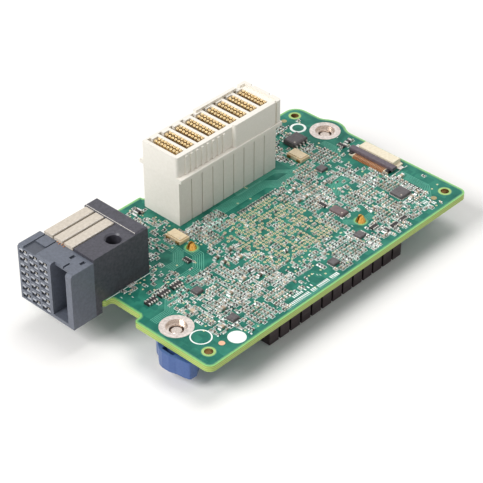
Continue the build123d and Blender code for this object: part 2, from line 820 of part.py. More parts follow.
with BuildPart() as thermal_pad:
    with BuildSketch(deck.offset(chip_bottom)):
        with Locations((chip_x, chip_y)):
            Rectangle(thermal_pad_size, thermal_pad_size)
    extrude(amount=-thermal_pad_thickness)
save(thermal_pad, "thermal_pad")

# Heatsink: base with straight fins, wells cut through the fins at the push pins
with BuildPart() as heatsink:
    with BuildSketch(deck.offset(base_top)):
        with Locations((heatsink_x, chip_y)):
            Rectangle(heatsink_length, heatsink_width)
    extrude(amount=-base_thickness)
    with BuildSketch(deck.offset(base_bottom)):
        with Locations((heatsink_x, chip_y)):
            with GridLocations(fin_pitch, 0, fin_count, 1):
                Rectangle(fin_thickness, heatsink_width)
    extrude(amount=-fin_height)
    with BuildSketch(deck.offset(base_bottom)):
        with Locations(*pin_places):
            Circle(pin_well_radius)
    extrude(amount=-fin_height, mode=Mode.SUBTRACT)
    with BuildSketch(deck.offset(base_top)):
        with Locations(*pin_places):
            Circle(pin_hole_radius)
    extrude(amount=-base_thickness, mode=Mode.SUBTRACT)
save(heatsink, "heatsink")

# Push pins: barbed split tip on the board's top face, shank through board and base, flat head below
pin_head_bottom = fin_bottom + pin_head_lift
pin_head_top = pin_head_bottom + pin_head_height
with BuildPart() as push_pins:
    for pin_x, pin_y in pin_places:
        with BuildSketch(axis_plane(pin_x, pin_y)):
            with BuildLine():
                Polyline(
                    (0, pin_head_bottom),
                    (pin_head_radius, pin_head_bottom),
                    (pin_head_radius, pin_head_top),
                    (pin_radius, pin_head_top),
                    (pin_radius, 0),
                    (pin_tip_radius, 0),
                    (pin_tip_end_radius, pin_tip_height),
                    (0, pin_tip_height),
                    close=True,
                )
            make_face()
        revolve(axis=upright_axis(pin_x, pin_y))
    with BuildSketch(deck.offset(pin_tip_height)):
        with Locations(*pin_places):
            Rectangle(2 * pin_tip_radius + pin_slit, pin_slit)
    extrude(amount=-pin_tip_height, mode=Mode.SUBTRACT)
save(push_pins, "push_pins")


def coil(x, y, bottom, top, radius, wire, turns):
    # Helix between two seats: the wire stays inside the two heights
    low = bottom + wire / 2 + spring_end_gap
    rise = top - bottom - wire - 2 * spring_end_gap
    with BuildPart() as spring:
        with BuildLine() as path:
            start = (left_edge + x, front_edge + y, top_face + low)
            Helix(pitch=rise / turns, height=rise, radius=radius, center=start)
        with BuildSketch(Plane(origin=path.line @ 0, z_dir=path.line % 0)):
            RegularPolygon(wire / 2, spring_wire_sides)
        sweep(path=path.line, is_frenet=True)
    return spring.part


with BuildPart() as push_pin_springs:
    for pin_x, pin_y in pin_places:
        seats = (pin_head_top, base_bottom)
        add(coil(pin_x, pin_y, *seats, pin_spring_radius, pin_spring_wire, pin_spring_turns))
save(push_pin_springs, "push_pin_springs")

# Ferrules of the captive screws: barrel in the board, flange under the grip's plate, sleeve with an inner lip
flange_seat = underside - grip_plate
sleeve_bottom = flange_seat - ferrule_flange_thickness - ferrule_sleeve_length
with BuildPart() as screw_ferrules:
    for screw_x, screw_y in screw_places:
        with BuildSketch(axis_plane(screw_x, screw_y)):
            with BuildLine():
                Polyline(
                    (ferrule_bore_radius, -ferrule_recess),
                    (ferrule_barrel_radius, -ferrule_recess),
                    (ferrule_barrel_radius, flange_seat),
                    (ferrule_flange_radius, flange_seat),
                    (ferrule_flange_radius, flange_seat - ferrule_flange_thickness),
                    (ferrule_sleeve_radius, flange_seat - ferrule_flange_thickness),
                    (ferrule_sleeve_radius, sleeve_bottom),
                    (ferrule_lip_radius, sleeve_bottom),
                    (ferrule_lip_radius, sleeve_bottom + ferrule_lip_thickness),
                    (ferrule_bore_radius, sleeve_bottom + ferrule_lip_thickness),
                    close=True,
                )
            make_face()
        revolve(axis=upright_axis(screw_x, screw_y))
save(screw_ferrules, "screw_ferrules")

# Captive screws: thread above the ferrule's lip, neck through it, head with a six-lobed socket
thread_bottom = sleeve_bottom + ferrule_lip_thickness + screw_seat_gap
head_top = sleeve_bottom - screw_travel - screw_travel_spare
head_bottom = head_top - screw_head_height
spring_seat = flange_seat - ferrule_flange_thickness
for name, (screw_x, screw_y) in zip(["front", "rear"], screw_places):
    with BuildPart() as captive_screw:
        with BuildSketch(axis_plane(screw_x, screw_y)):
            with BuildLine():
                Polyline(
                    (0, -screw_tip_recess),
                    (screw_radius - screw_tip_chamfer, -screw_tip_recess),
                    (screw_radius, -screw_tip_recess - screw_tip_chamfer),
                    (screw_radius, thread_bottom),
                    (screw_neck_radius, thread_bottom),
                    (screw_neck_radius, head_top),
                    (screw_head_radius, head_top),
                    (screw_head_radius, head_bottom),
                    (0, head_bottom),
                    close=True,
                )
            make_face()
        revolve(axis=upright_axis(screw_x, screw_y))
        with BuildSketch(deck.offset(head_bottom)):
            with Locations((screw_x, screw_y)):
                Circle(socket_radius)
                with PolarLocations(socket_radius, socket_lobes):
                    Circle(socket_lobe_radius)
        extrude(amount=socket_depth, mode=Mode.SUBTRACT)
    save(captive_screw, f"{name}_captive_screw")

    with BuildPart() as screw_spring:
        seats = (head_top, spring_seat)
        add(coil(screw_x, screw_y, *seats, screw_spring_radius, screw_spring_wire, screw_spring_turns))
    save(screw_spring, f"{name}_screw_spring")

# Finger grips: plate clamped by the ferrule, cup round the spring, nose with a pocket past the board's edge
grip_turns = [1, -1]
grip_bottom = underside - grip_height
grip_nose_height = grip_height - grip_nose_drop
with BuildPart() as screw_grips:
    for (screw_x, screw_y), turn in zip(screw_places, grip_turns):
        with BuildSketch(deck.offset(grip_bottom)):
            with Locations((screw_x, screw_y)):
                Polygon(*[(turn * u, turn * v) for u, v in grip_nose_points], align=None)
        extrude(amount=grip_nose_height)
    fillet(screw_grips.edges().filter_by(Axis.Z), grip_corner_radius)
    with BuildSketch(deck.offset(grip_bottom)):
        with Locations(*screw_places):
            Circle(grip_boss_radius)
    extrude(amount=grip_height)
    with BuildSketch(deck.offset(grip_bottom)):
        with Locations(*screw_places):
            Circle(grip_bore_radius)
    extrude(amount=grip_height - grip_plate, mode=Mode.SUBTRACT)
    with BuildSketch(deck.offset(underside)):
        with Locations(*screw_places):
            Circle(ferrule_barrel_radius + grip_hole_clearance)
    extrude(amount=-grip_plate, mode=Mode.SUBTRACT)
    for (screw_x, screw_y), turn in zip(screw_places, grip_turns):
        with BuildSketch(deck.offset(underside)):
            with Locations((screw_x + turn * grip_pocket_u, screw_y + turn * grip_pocket_v)):
                RectangleRounded(grip_pocket_width, grip_pocket_length, grip_pocket_radius)
        extrude(amount=-grip_nose_drop - grip_pocket_depth, mode=Mode.SUBTRACT)
save(screw_grips, "screw_grips")

# Eight-lead chip beside the board to board connector
with BuildPart() as memory_chip:
    with BuildSketch(deck.offset(memory_standoff)):
        with Locations((memory_x, memory_y)):
            Rectangle(memory_length, memory_width)
    extrude(amount=memory_height)
    chamfer(memory_chip.faces().sort_by(Axis.Z)[-1].edges(), memory_chamfer)
save(memory_chip, "memory_chip")

lead_height = memory_standoff + memory_height / 2
with BuildPart() as memory_leads:
    for side in [-1, 1]:
        lead_profile = [
            (0, lead_height),
            (lead_reach - lead_foot, lead_height),
            (lead_reach - lead_foot, lead_thickness),
            (lead_reach, lead_thickness),
            (lead_reach, 0),
            (lead_reach - lead_foot - lead_thickness, 0),
            (lead_reach - lead_foot - lead_thickness, lead_height - lead_thickness),
            (0, lead_height - lead_thickness),
        ]
        for i in range(leads_per_side):
            lead_x = memory_x + (i - (leads_per_side - 1) / 2) * lead_pitch
            with BuildSketch(end_plane(lead_x)):
                with BuildLine():
                    edge = memory_y + side * memory_width / 2
                    Polyline(*[(edge + side * u, z) for u, z in lead_profile], close=True)
                make_face()
            extrude(amount=lead_width / 2, both=True)
save(memory_leads, "memory_leads")

# Square no-lead chip near the right edge, and smaller ones about the board
with BuildPart() as regulator_chip:
    with BuildSketch(deck):
        with Locations((no_lead_x, no_lead_y)):
            Rectangle(no_lead_size, no_lead_size)
    extrude(amount=no_lead_height)
    chamfer(regulator_chip.faces().sort_by(Axis.Z)[-1].edges(), no_lead_chamfer)
save(regulator_chip, "regulator_chip")

with BuildPart() as power_chip:
    with BuildSketch(deck):
        with Locations((power_chip_x, power_chip_y)):
            Rectangle(power_chip_width, power_chip_length)
    extrude(amount=power_chip_height)
    chamfer(power_chip.faces().sort_by(Axis.Z)[-1].edges(), power_chip_chamfer)
save(power_chip, "power_chip")

with BuildPart() as small_chips:
    with BuildSketch(deck):
        with Locations(*small_chip_places):
            Rectangle(small_chip_size, small_chip_size)
    extrude(amount=small_chip_height)
    chamfer(small_chips.faces().group_by(Axis.Z)[-1].edges(), small_chip_chamfer)
save(small_chips, "small_chips")

# Oscillators: ceramic base with a smaller lid
with BuildPart() as oscillators:
    with BuildSketch(deck):
        with Locations(*oscillator_places):
            Rectangle(oscillator_width, oscillator_length)
    extrude(amount=oscillator_base_height)
    with BuildSketch(deck.offset(oscillator_base_height)):
        with Locations(*oscillator_places):
            Rectangle(
                oscillator_width - 2 * oscillator_lid_margin,
                oscillator_length - 2 * oscillator_lid_margin,
            )
    extrude(amount=oscillator_lid_height)
save(oscillators, "oscillators")

# Resistor arrays in a row behind the front screw, with raised terminals along both sides
terminal_pitch = array_length / terminals_per_side
with BuildPart() as resistor_arrays:
    with BuildSketch(deck):
        with Locations((array_x, array_y)):
            with GridLocations(array_pitch, 0, array_count, 1):
                Rectangle(array_length, array_width)
    extrude(amount=array_height)
    with BuildSketch(deck.offset(array_height)):
        with Locations((array_x, array_y)):
            with GridLocations(array_pitch, 0, array_count, 1):
                with GridLocations(terminal_pitch, array_width - terminal_width, terminals_per_side, 2):
                    Rectangle(terminal_length, terminal_width)
    extrude(amount=terminal_lift)
save(resistor_arrays, "resistor_arrays")

# Decoupling capacitors: a grid over the controller chip, and blocks round the chips, lying or standing
lying_blocks = (
    [(chip_x + x, chip_y + y, across, deep) for x, y, across, deep in lying_chip_blocks]
    + [(chip_x + x, y, across, deep) for x, y, across, deep in lying_front_blocks]
    + [(memory_x + x, memory_y + y, across, deep) for x, y, across, deep in lying_memory_blocks]
    + [(right_chip_x + x, right_chip_y + y, across, deep) for x, y, across, deep in lying_right_blocks]
)
standing_blocks = (
    [(chip_x + x, chip_y + y, across, deep) for x, y, across, deep in standing_chip_blocks]
    + [(chip_x + x, y, across, deep) for x, y, across, deep in standing_front_blocks]
    + [(right_chip_x + x, right_chip_y + y, across, deep) for x, y, across, deep in standing_right_blocks]
    + standing_left_blocks
)
with BuildPart() as chip_capacitors:
    with BuildSketch(deck):
        with Locations((chip_x, chip_y)):
            with GridLocations(capacitor_pitch, capacitor_pitch, capacitor_grid, capacitor_grid):
                Rectangle(capacitor_length, capacitor_width)
        for block_x, block_y, across, deep in lying_blocks:
            with Locations((block_x, block_y)):
                with GridLocations(block_pitch_long, block_pitch_short, across, deep):
                    Rectangle(capacitor_length, capacitor_width)
        for block_x, block_y, across, deep in standing_blocks:
            with Locations((block_x, block_y)):
                with GridLocations(block_pitch_short, block_pitch_long, across, deep):
                    Rectangle(capacitor_width, capacitor_length)
    extrude(amount=capacitor_height)
save(chip_capacitors, "chip_capacitors")

# Larger capacitors between the controller and the edges
with BuildPart() as bulk_capacitors:
    with BuildSketch(deck):
        with Locations(*bulk_places):
            Rectangle(bulk_length, bulk_width)
    extrude(amount=bulk_height)
save(bulk_capacitors, "bulk_capacitors")

# Chip resistors in a row behind the controller
with BuildPart() as chip_resistors:
    with BuildSketch(deck):
        with Locations((resistor_row_x, resistor_row_y)):
            with GridLocations(resistor_pitch, 0, resistor_count, 1):
                Rectangle(resistor_width, resistor_length)
    extrude(amount=resistor_height)
save(chip_resistors, "chip_resistors")
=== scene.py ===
# Looks of the host bus adapter card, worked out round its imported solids
import math

import bpy
import numpy as np
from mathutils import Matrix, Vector


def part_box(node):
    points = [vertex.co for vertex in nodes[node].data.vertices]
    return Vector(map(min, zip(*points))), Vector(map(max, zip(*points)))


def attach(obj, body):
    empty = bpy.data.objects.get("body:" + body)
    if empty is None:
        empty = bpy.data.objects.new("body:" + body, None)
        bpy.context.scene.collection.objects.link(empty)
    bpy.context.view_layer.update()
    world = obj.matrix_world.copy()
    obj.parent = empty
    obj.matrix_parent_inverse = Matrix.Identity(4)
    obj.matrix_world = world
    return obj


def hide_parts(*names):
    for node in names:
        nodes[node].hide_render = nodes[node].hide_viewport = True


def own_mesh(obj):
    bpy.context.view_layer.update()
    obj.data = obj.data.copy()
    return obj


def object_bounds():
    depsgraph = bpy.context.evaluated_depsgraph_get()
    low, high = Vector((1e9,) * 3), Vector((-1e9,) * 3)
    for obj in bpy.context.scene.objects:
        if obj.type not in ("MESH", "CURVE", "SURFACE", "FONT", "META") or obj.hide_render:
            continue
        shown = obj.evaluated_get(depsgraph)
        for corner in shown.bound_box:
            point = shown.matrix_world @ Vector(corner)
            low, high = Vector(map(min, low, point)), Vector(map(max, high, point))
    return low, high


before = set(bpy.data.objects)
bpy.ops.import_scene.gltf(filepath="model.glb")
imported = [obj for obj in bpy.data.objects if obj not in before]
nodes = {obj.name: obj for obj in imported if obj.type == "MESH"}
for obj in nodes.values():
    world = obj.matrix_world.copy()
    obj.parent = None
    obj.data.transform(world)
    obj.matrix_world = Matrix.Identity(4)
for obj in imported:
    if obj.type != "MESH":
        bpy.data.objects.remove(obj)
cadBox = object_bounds()
boardLow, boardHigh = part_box("circuit_board")
corner = np.array([boardLow.x, boardLow.y, boardHigh.z])  # front left corner of the board's top face
mm = 0.001
underside = (boardLow.z - boardHigh.z) / mm
dice = np.random.default_rng(46)
print("frame loaded:", len(nodes), "nodes")


# Places on the board are millimetres from its front left corner, with height above its top face
def onBoard(points):
    return np.asarray(points, float) * mm + corner


def boxOf(node):
    low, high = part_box(node)
    return (np.array(low) - corner) / mm, (np.array(high) - corner) / mm


def meshOf(node):
    mesh = nodes[node].data
    points = np.empty(len(mesh.vertices) * 3)
    mesh.vertices.foreach_get("co", points)
    mesh.calc_loop_triangles()
    corners = np.empty(len(mesh.loop_triangles) * 3, np.int32)
    mesh.loop_triangles.foreach_get("vertices", corners)
    return (points.reshape(-1, 3) - corner) / mm, corners.reshape(-1, 3)


# Box of each solid of a node: triangles that share points get the lowest label among them
def solidBoxes(node):
    points, triangles = meshOf(node)
    spots, index = np.unique(np.round(points, 4), axis=0, return_inverse=True)
    triangles = index.reshape(-1)[triangles]
    label = np.arange(len(spots))
    while True:
        lowest = label[triangles].min(axis=1)
        new = label.copy()
        np.minimum.at(new, triangles.ravel(), np.repeat(lowest, 3))
        if (new == label).all():
            break
        label = new
    low = np.stack([spots[label == k].min(axis=0) for k in np.unique(label)])
    high = np.stack([spots[label == k].max(axis=0) for k in np.unique(label)])
    return low, high


# Quads between neighbouring rings of points; both ends are capped, or the last ring is joined to the first
def ringFaces(ringCount, ringSize, ends="capped"):
    rows = ringCount if ends == "joined" else ringCount - 1
    i = np.arange(rows)[:, None] * ringSize
    n = (np.arange(rows)[:, None] + 1) % ringCount * ringSize
    j = np.arange(ringSize)[None, :]
    k = (j + 1) % ringSize
    quads = np.stack([i + j, i + k, n + k, n + j], axis=2).reshape(-1, 4)
    if ends == "joined":
        return [quads]
    caps = np.array([np.arange(ringSize)[::-1], np.arange(ringSize) + (ringCount - 1) * ringSize])
    return [quads, caps]


# Signed volume of the fans over all faces: a negative one means the faces point inwards
def outward(points, faces):
    volume = 0.0
    for group in faces:
        fan = points[group]
        for k in range(1, group.shape[1] - 1):
            volume += np.einsum("ij,ij->i", fan[:, 0], np.cross(fan[:, k], fan[:, k + 1])).sum()
    return faces if volume >= 0 else [group[:, ::-1] for group in faces]


def ringShape(rings, ends="capped", finishOf=None):
    count, size = rings.shape[:2]
    points = rings.reshape(-1, 3)
    faces = outward(points, ringFaces(count, size, ends))
    return points, faces, finishOf or [np.zeros(len(group), int) for group in faces]


# Turned shape: a profile of (radius, height) carried round z
def turnedShape(profile, sides, ends="capped"):
    r, z = np.array(profile, float).T
    angle = np.arange(sides) * 2 * math.pi / sides
    x, y = np.outer(r, np.cos(angle)), np.outer(r, np.sin(angle))
    return ringShape(np.stack([x, y, np.repeat(z[:, None], sides, axis=1)], axis=2), ends)


# Block with bevelled upper edges: a rectangle at two or three heights, the top one drawn in by the bevel
def blockShape(length, width, height, bevel=0.0, base=0.0):
    rings = []
    for z, inset in ((base, 0.0), (base + height - bevel, 0.0), (base + height, bevel)):
        x, y = length / 2 - inset, width / 2 - inset
        rings.append([(-x, -y, z), (x, -y, z), (x, y, z), (-x, y, z)])
    return ringShape(np.array(rings[:1] + rings[1 if bevel else 2:]))


def joinShapes(*shapes):
    points, faces, finishOf, start = [], [], [], 0
    for p, f, m in shapes:
        points.append(p)
        faces += [group + start for group in f]
        finishOf += m
        start += len(p)
    return np.concatenate(points), faces, finishOf


def moveShape(shape, x=0.0, y=0.0, z=0.0, finish=None):
    points, faces, finishOf = shape
    if finish is not None:
        finishOf = [np.full(len(group), finish) for group in faces]
    return points + np.array([x, y, z]), faces, finishOf


# Copies of one small shape: each is turned about z, then moved to its place
def repeatShape(shape, places, turns=None):
    points, faces, finishOf = shape
    places = np.asarray(places, float)
    if places.shape[1] == 2:
        places = np.column_stack([places, np.zeros(len(places))])
    turns = np.zeros(len(places)) if turns is None else np.asarray(turns, float)
    c, s = np.cos(turns)[:, None], np.sin(turns)[:, None]
    x = points[None, :, 0] * c - points[None, :, 1] * s + places[:, 0:1]
    y = points[None, :, 0] * s + points[None, :, 1] * c + places[:, 1:2]
    z = np.broadcast_to(points[None, :, 2], x.shape) + places[:, 2:3]
    copies = np.stack([x, y, z], axis=2).reshape(-1, 3)
    step = (len(points) * np.arange(len(places)))[:, None, None]
    allFaces = [(group[None] + step).reshape(-1, group.shape[1]) for group in faces]
    return copies, allFaces, [np.tile(index, len(places)) for index in finishOf]


# The same shape on the underside: mirrored in height, faces turned round again
def underneath(shape):
    points, faces, finishOf = shape
    mirrored = points * np.array([1, 1, -1]) + np.array([0, 0, underside])
    return mirrored, [group[:, ::-1] for group in faces], finishOf


# A finished piece: points in board millimetres, faces as one index array for each polygon size
def addPiece(name, shape, looks, tone=None, body="card", smooth=False, slot=None):
    points, faces, finishOf = shape
    mesh = bpy.data.meshes.new(name)
    loops = np.concatenate([group.ravel() for group in faces]).astype(np.int32)
    totals = np.concatenate([np.full(len(group), group.shape[1]) for group in faces])
    starts = np.concatenate([[0], np.cumsum(totals)[:-1]]).astype(np.int32)
    mesh.vertices.add(len(points))
    mesh.vertices.foreach_set("co", onBoard(points).astype(np.float32).ravel())
    mesh.loops.add(len(loops))
    mesh.loops.foreach_set("vertex_index", loops)
    mesh.polygons.add(len(totals))
    mesh.polygons.foreach_set("loop_start", starts)
    mesh.polygons.foreach_set("material_index", np.concatenate(finishOf).astype(np.int32))
    mesh.update(calc_edges=True)
    mesh.polygons.foreach_set("use_smooth", np.full(len(totals), smooth))
    if tone is not None:
        layer = mesh.attributes.new("tone", "FLOAT", "POINT")
        layer.data.foreach_set("value", np.asarray(tone, np.float32))
    for look in looks:
        mesh.materials.append(finishes[look])
    piece = bpy.data.objects.new(name, mesh)
    bpy.context.scene.collection.objects.link(piece)
    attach(piece, body)
    return piece


# Colours are written as they look on a screen, 0 to 255
def tint(r, g, b):
    c = np.array([r, g, b]) / 255
    linear = np.where(c <= 0.04045, c / 12.92, ((c + 0.055) / 1.055) ** 2.4)
    return (*linear.tolist(), 1.0)


# Shader tools
def startFinish(name, rough, metal=0.0, specular=0.5):
    finish = bpy.data.materials.new(name)
    finish.use_nodes = True
    shader = finish.node_tree.nodes["Principled BSDF"]
    shader.inputs["Roughness"].default_value = rough
    shader.inputs["Metallic"].default_value = metal
    shader.inputs["Specular IOR Level"].default_value = specular
    return finish, finish.node_tree, shader


def feed(tree, socket, value):
    if isinstance(value, bpy.types.NodeSocket):
        tree.links.new(value, socket)
    else:
        socket.default_value = value


def addNode(tree, kind, settings=None, **values):
    node = tree.nodes.new(kind)
    for key, value in (settings or {}).items():
        setattr(node, key, value)
    for key, value in values.items():
        feed(tree, node.inputs[key.replace("_", " ")], value)
    return node


def objectPlace(tree, stretch=(1, 1, 1)):
    place = addNode(tree, "ShaderNodeTexCoord").outputs["Object"]
    return addNode(tree, "ShaderNodeMapping", Vector=place, Scale=stretch).outputs["Vector"]


def noise(tree, scale, detail, stretch=(1, 1, 1)):
    made = addNode(tree, "ShaderNodeTexNoise", Vector=objectPlace(tree, stretch), Scale=scale, Detail=detail)
    return made.outputs["Fac"]


def blendColours(tree, share, first, second, kind="MIX"):
    mixer = addNode(tree, "ShaderNodeMix", {"data_type": "RGBA", "blend_type": kind})
    for socket, value in zip((mixer.inputs[0], mixer.inputs[6], mixer.inputs[7]), (share, first, second)):
        feed(tree, socket, value)
    return mixer.outputs[2]


def remap(tree, value, low, high, newLow=0.0, newHigh=1.0):
    spans = {"From_Min": low, "From_Max": high, "To_Min": newLow, "To_Max": newHigh}
    return addNode(tree, "ShaderNodeMapRange", Value=value, **spans).outputs["Result"]


def combine(tree, operation, first, second=0.0, kind="ShaderNodeMath"):
    made = addNode(tree, kind, {"operation": operation})
    for socket, value in zip(made.inputs, (first, second)):
        feed(tree, socket, value)
    return made.outputs[0]


def roughen(tree, shader, height, strength, distance):
    bump = addNode(tree, "ShaderNodeBump", Height=height, Strength=strength, Distance=distance)
    tree.links.new(bump.outputs["Normal"], shader.inputs["Normal"])


# Depth of a point inside a box in metres: the least of its distances to the six sides
def depthInside(tree, low, high):
    place = addNode(tree, "ShaderNodeTexCoord").outputs["Object"]
    vectors = "ShaderNodeVectorMath"
    fromLow = combine(tree, "SUBTRACT", place, low, vectors)
    fromHigh = combine(tree, "SUBTRACT", high, place, vectors)
    least = combine(tree, "MINIMUM", fromLow, fromHigh, vectors)
    x, y, z = addNode(tree, "ShaderNodeSeparateXYZ", Vector=least).outputs
    return combine(tree, "MINIMUM", combine(tree, "MINIMUM", x, y), z)


# Uneven gloss and a fine relief, both from one noise
def wearSurface(tree, shader, grain, rough, bump, look):
    gloss = remap(tree, grain, *look["glossSpan"], *[rough + change for change in look["dull"]])
    tree.links.new(gloss, shader.inputs["Roughness"])
    roughen(tree, shader, grain, bump, look["depth"])


plasticLook = {
    "clouds": 1500,
    "span": (0.3, 0.7),
    "glossSpan": (0.3, 0.7),
    "dull": (-0.06, 0.08),
    "specular": 0.4,
    "depth": 0.00004,
}


# Moulded plastic: two close tones in small clouds, a fine eroded grain; inside a box the colour may get
# painted shade, darker with depth
def plasticFinish(name, tone, shade, rough, grain=7000, bump=0.12, recessShade=None, look=plasticLook):
    finish, tree, shader = startFinish(name, rough, specular=look["specular"])
    cloud = remap(tree, noise(tree, look["clouds"], 5), *look["span"])
    colour = blendColours(tree, cloud, tint(*shade), tint(*tone))
    if recessShade:
        # Painted shade: the colour runs towards the box's dark tone with depth inside the box
        depth = depthInside(tree, recessShade["low"], recessShade["high"])
        colour = blendColours(tree, remap(tree, depth, *recessShade["fade"]), colour, tint(*recessShade["tone"]))
    tree.links.new(colour, shader.inputs["Base Color"])
    wearSurface(tree, shader, noise(tree, grain, 2), rough, bump, look)
    return finish


metalLook = {"span": (0.3, 0.7), "glossSpan": (0.25, 0.75), "dull": (-0.08, 0.1), "depth": 0.00003}


# Metal: brushed or drawn streaks along one axis, with a slightly uneven gloss
def metalFinish(name, tone, shade, rough, streaks=(1, 1, 1), scale=3500, bump=0.08, look=metalLook):
    finish, tree, shader = startFinish(name, rough, 1.0)
    streak = noise(tree, scale, 3, streaks)
    colour = blendColours(tree, remap(tree, streak, *look["span"]), tint(*shade), tint(*tone))
    tree.links.new(colour, shader.inputs["Base Color"])
    wearSurface(tree, shader, streak, rough, bump, look)
    return finish


speckLook = {
    "scale": 9000,
    "span": (0.25, 0.75),
    "shades": (0.8, 1.1),
    "bump": 0.1,
    "depth": 0.00002,
    "belowOne": 0.999,
}


# Small bodies and their solder: the colour follows each part's own tone, run through in one or more cycles
def bodyFinish(name, dark, light, rough, metal=0.0, cycles=1.0, look=speckLook):
    finish, tree, shader = startFinish(name, rough, metal)
    tone = addNode(tree, "ShaderNodeAttribute", {"attribute_name": "tone"}).outputs["Fac"]
    tone = combine(tree, "FRACT", combine(tree, "MULTIPLY", tone, look["belowOne"] * cycles))
    own = blendColours(tree, tone, tint(*dark), tint(*light))
    speck = remap(tree, noise(tree, look["scale"], 2), *look["span"], *look["shades"])
    tree.links.new(blendColours(tree, 1.0, own, speck, "MULTIPLY"), shader.inputs["Base Color"])
    roughen(tree, shader, speck, look["bump"], look["depth"])
    return finish


maskLook = {
    "teal": (36, 114, 98),
    "deep": (20, 92, 79),
    "pour": (50, 130, 110),
    "core": (176, 196, 112),
    "ply": (128, 154, 66),
    "border": (136, 200, 116),
    "layers": 6.0,
    "thick": 0.0016,
    "gloss": 0.4,
    "specular": 0.15,
    "coat": 0.05,
    "coatGloss": 0.2,
    "pours": 420.0,
    "clouds": 260,
    "grain": 5000,
    "bump": 0.15,
    "depth": 0.00003,
    "borderGloss": 0.35,
    "borderCoat": 0.2,
    "torn": (-0.14, 0.14),
    "tornGrain": 2500,
    "tornSpan": (0.2, 0.8),
    "pourSpan": (0.4, 0.6),
    "cloudSpan": (0.4, 0.7, 0.0, 0.85),
    "plySpan": (0.0, 0.5),
    "borderSpan": (0.1, 0.7),
}


# Circuit board: teal mask over copper shapes on the faces, pale glass-fibre plies on the cut edges
def maskFinish(look):
    finish, tree, shader = startFinish("tealSolderMask", look["gloss"], specular=look["specular"])
    shader.inputs["Coat Weight"].default_value = look["coat"]
    shader.inputs["Coat Roughness"].default_value = look["coatGloss"]
    squares = {"Vector": objectPlace(tree), "Scale": look["pours"]}
    cells = addNode(tree, "ShaderNodeTexVoronoi", {"distance": "CHEBYCHEV"}, **squares)
    pour = addNode(tree, "ShaderNodeSeparateColor", Color=cells.outputs["Color"]).outputs["Red"]
    copperShare = remap(tree, pour, *look["pourSpan"])
    poured = blendColours(tree, copperShare, tint(*look["teal"]), tint(*look["pour"]))
    cloud = remap(tree, noise(tree, look["clouds"], 4), *look["cloudSpan"])
    mask = blendColours(tree, cloud, poured, tint(*look["deep"]))
    place = addNode(tree, "ShaderNodeTexCoord").outputs["Object"]
    height = addNode(tree, "ShaderNodeSeparateXYZ", Vector=place).outputs["Z"]
    ply = combine(tree, "PINGPONG", combine(tree, "MULTIPLY", height, look["layers"] / look["thick"]), 1.0)
    plyShare = remap(tree, ply, *look["plySpan"])
    fibre = blendColours(tree, plyShare, tint(*look["ply"]), tint(*look["core"]))
    facing = addNode(tree, "ShaderNodeNewGeometry").outputs["Normal"]
    flat = combine(tree, "ABSOLUTE", addNode(tree, "ShaderNodeSeparateXYZ", Vector=facing).outputs["Z"])
    onFace = combine(tree, "GREATER_THAN", flat, 0.5)
    tree.links.new(blendColours(tree, onFace, fibre, mask), shader.inputs["Base Color"])
    relief = combine(tree, "ADD", pour, noise(tree, look["grain"], 2))
    roughen(tree, shader, relief, look["bump"], look["depth"])
    return finish


# Border of the board: the bare laminate shines through, fading into the mask
def borderFinish(look):
    finish, tree, shader = startFinish("paleBorder", look["borderGloss"])
    shader.inputs["Coat Weight"].default_value = look["borderCoat"]
    tone = addNode(tree, "ShaderNodeAttribute", {"attribute_name": "tone"}).outputs["Fac"]
    shift = remap(tree, noise(tree, look["tornGrain"], 3), *look["tornSpan"], *look["torn"])
    bare = remap(tree, combine(tree, "ADD", tone, shift), *look["borderSpan"])
    shade = blendColours(tree, bare, tint(*look["teal"]), tint(*look["border"]))
    tree.links.new(shade, shader.inputs["Base Color"])
    return finish


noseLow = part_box("front_housing")[0]
bladesLow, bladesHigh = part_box("front_contacts")
# Painted shade inside the nose openings: the grey plastic turns near black with depth inside the blades' box
noseOpeningShade = {
    "low": Vector((noseLow.x, bladesLow.y - 0.001, bladesLow.z - 0.001)),
    "high": bladesHigh + Vector((0.001, 0.001, 0.001)),
    "fade": (0.0002, 0.0009),
    "tone": (30, 30, 36),
}
rowsLow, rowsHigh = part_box("mezzanine_contacts")
# Painted shade in the mezzanine slots: the shroud plastic turns dark brown with depth inside the contact
# rows' box
slotRecessShade = {
    "low": rowsLow - Vector((0.0012, 0.0006, 0)),
    "high": rowsHigh + Vector((0.0002, 0.0006, 0)),
    "fade": (0.0001, 0.0007),
    "tone": (92, 66, 46),
}

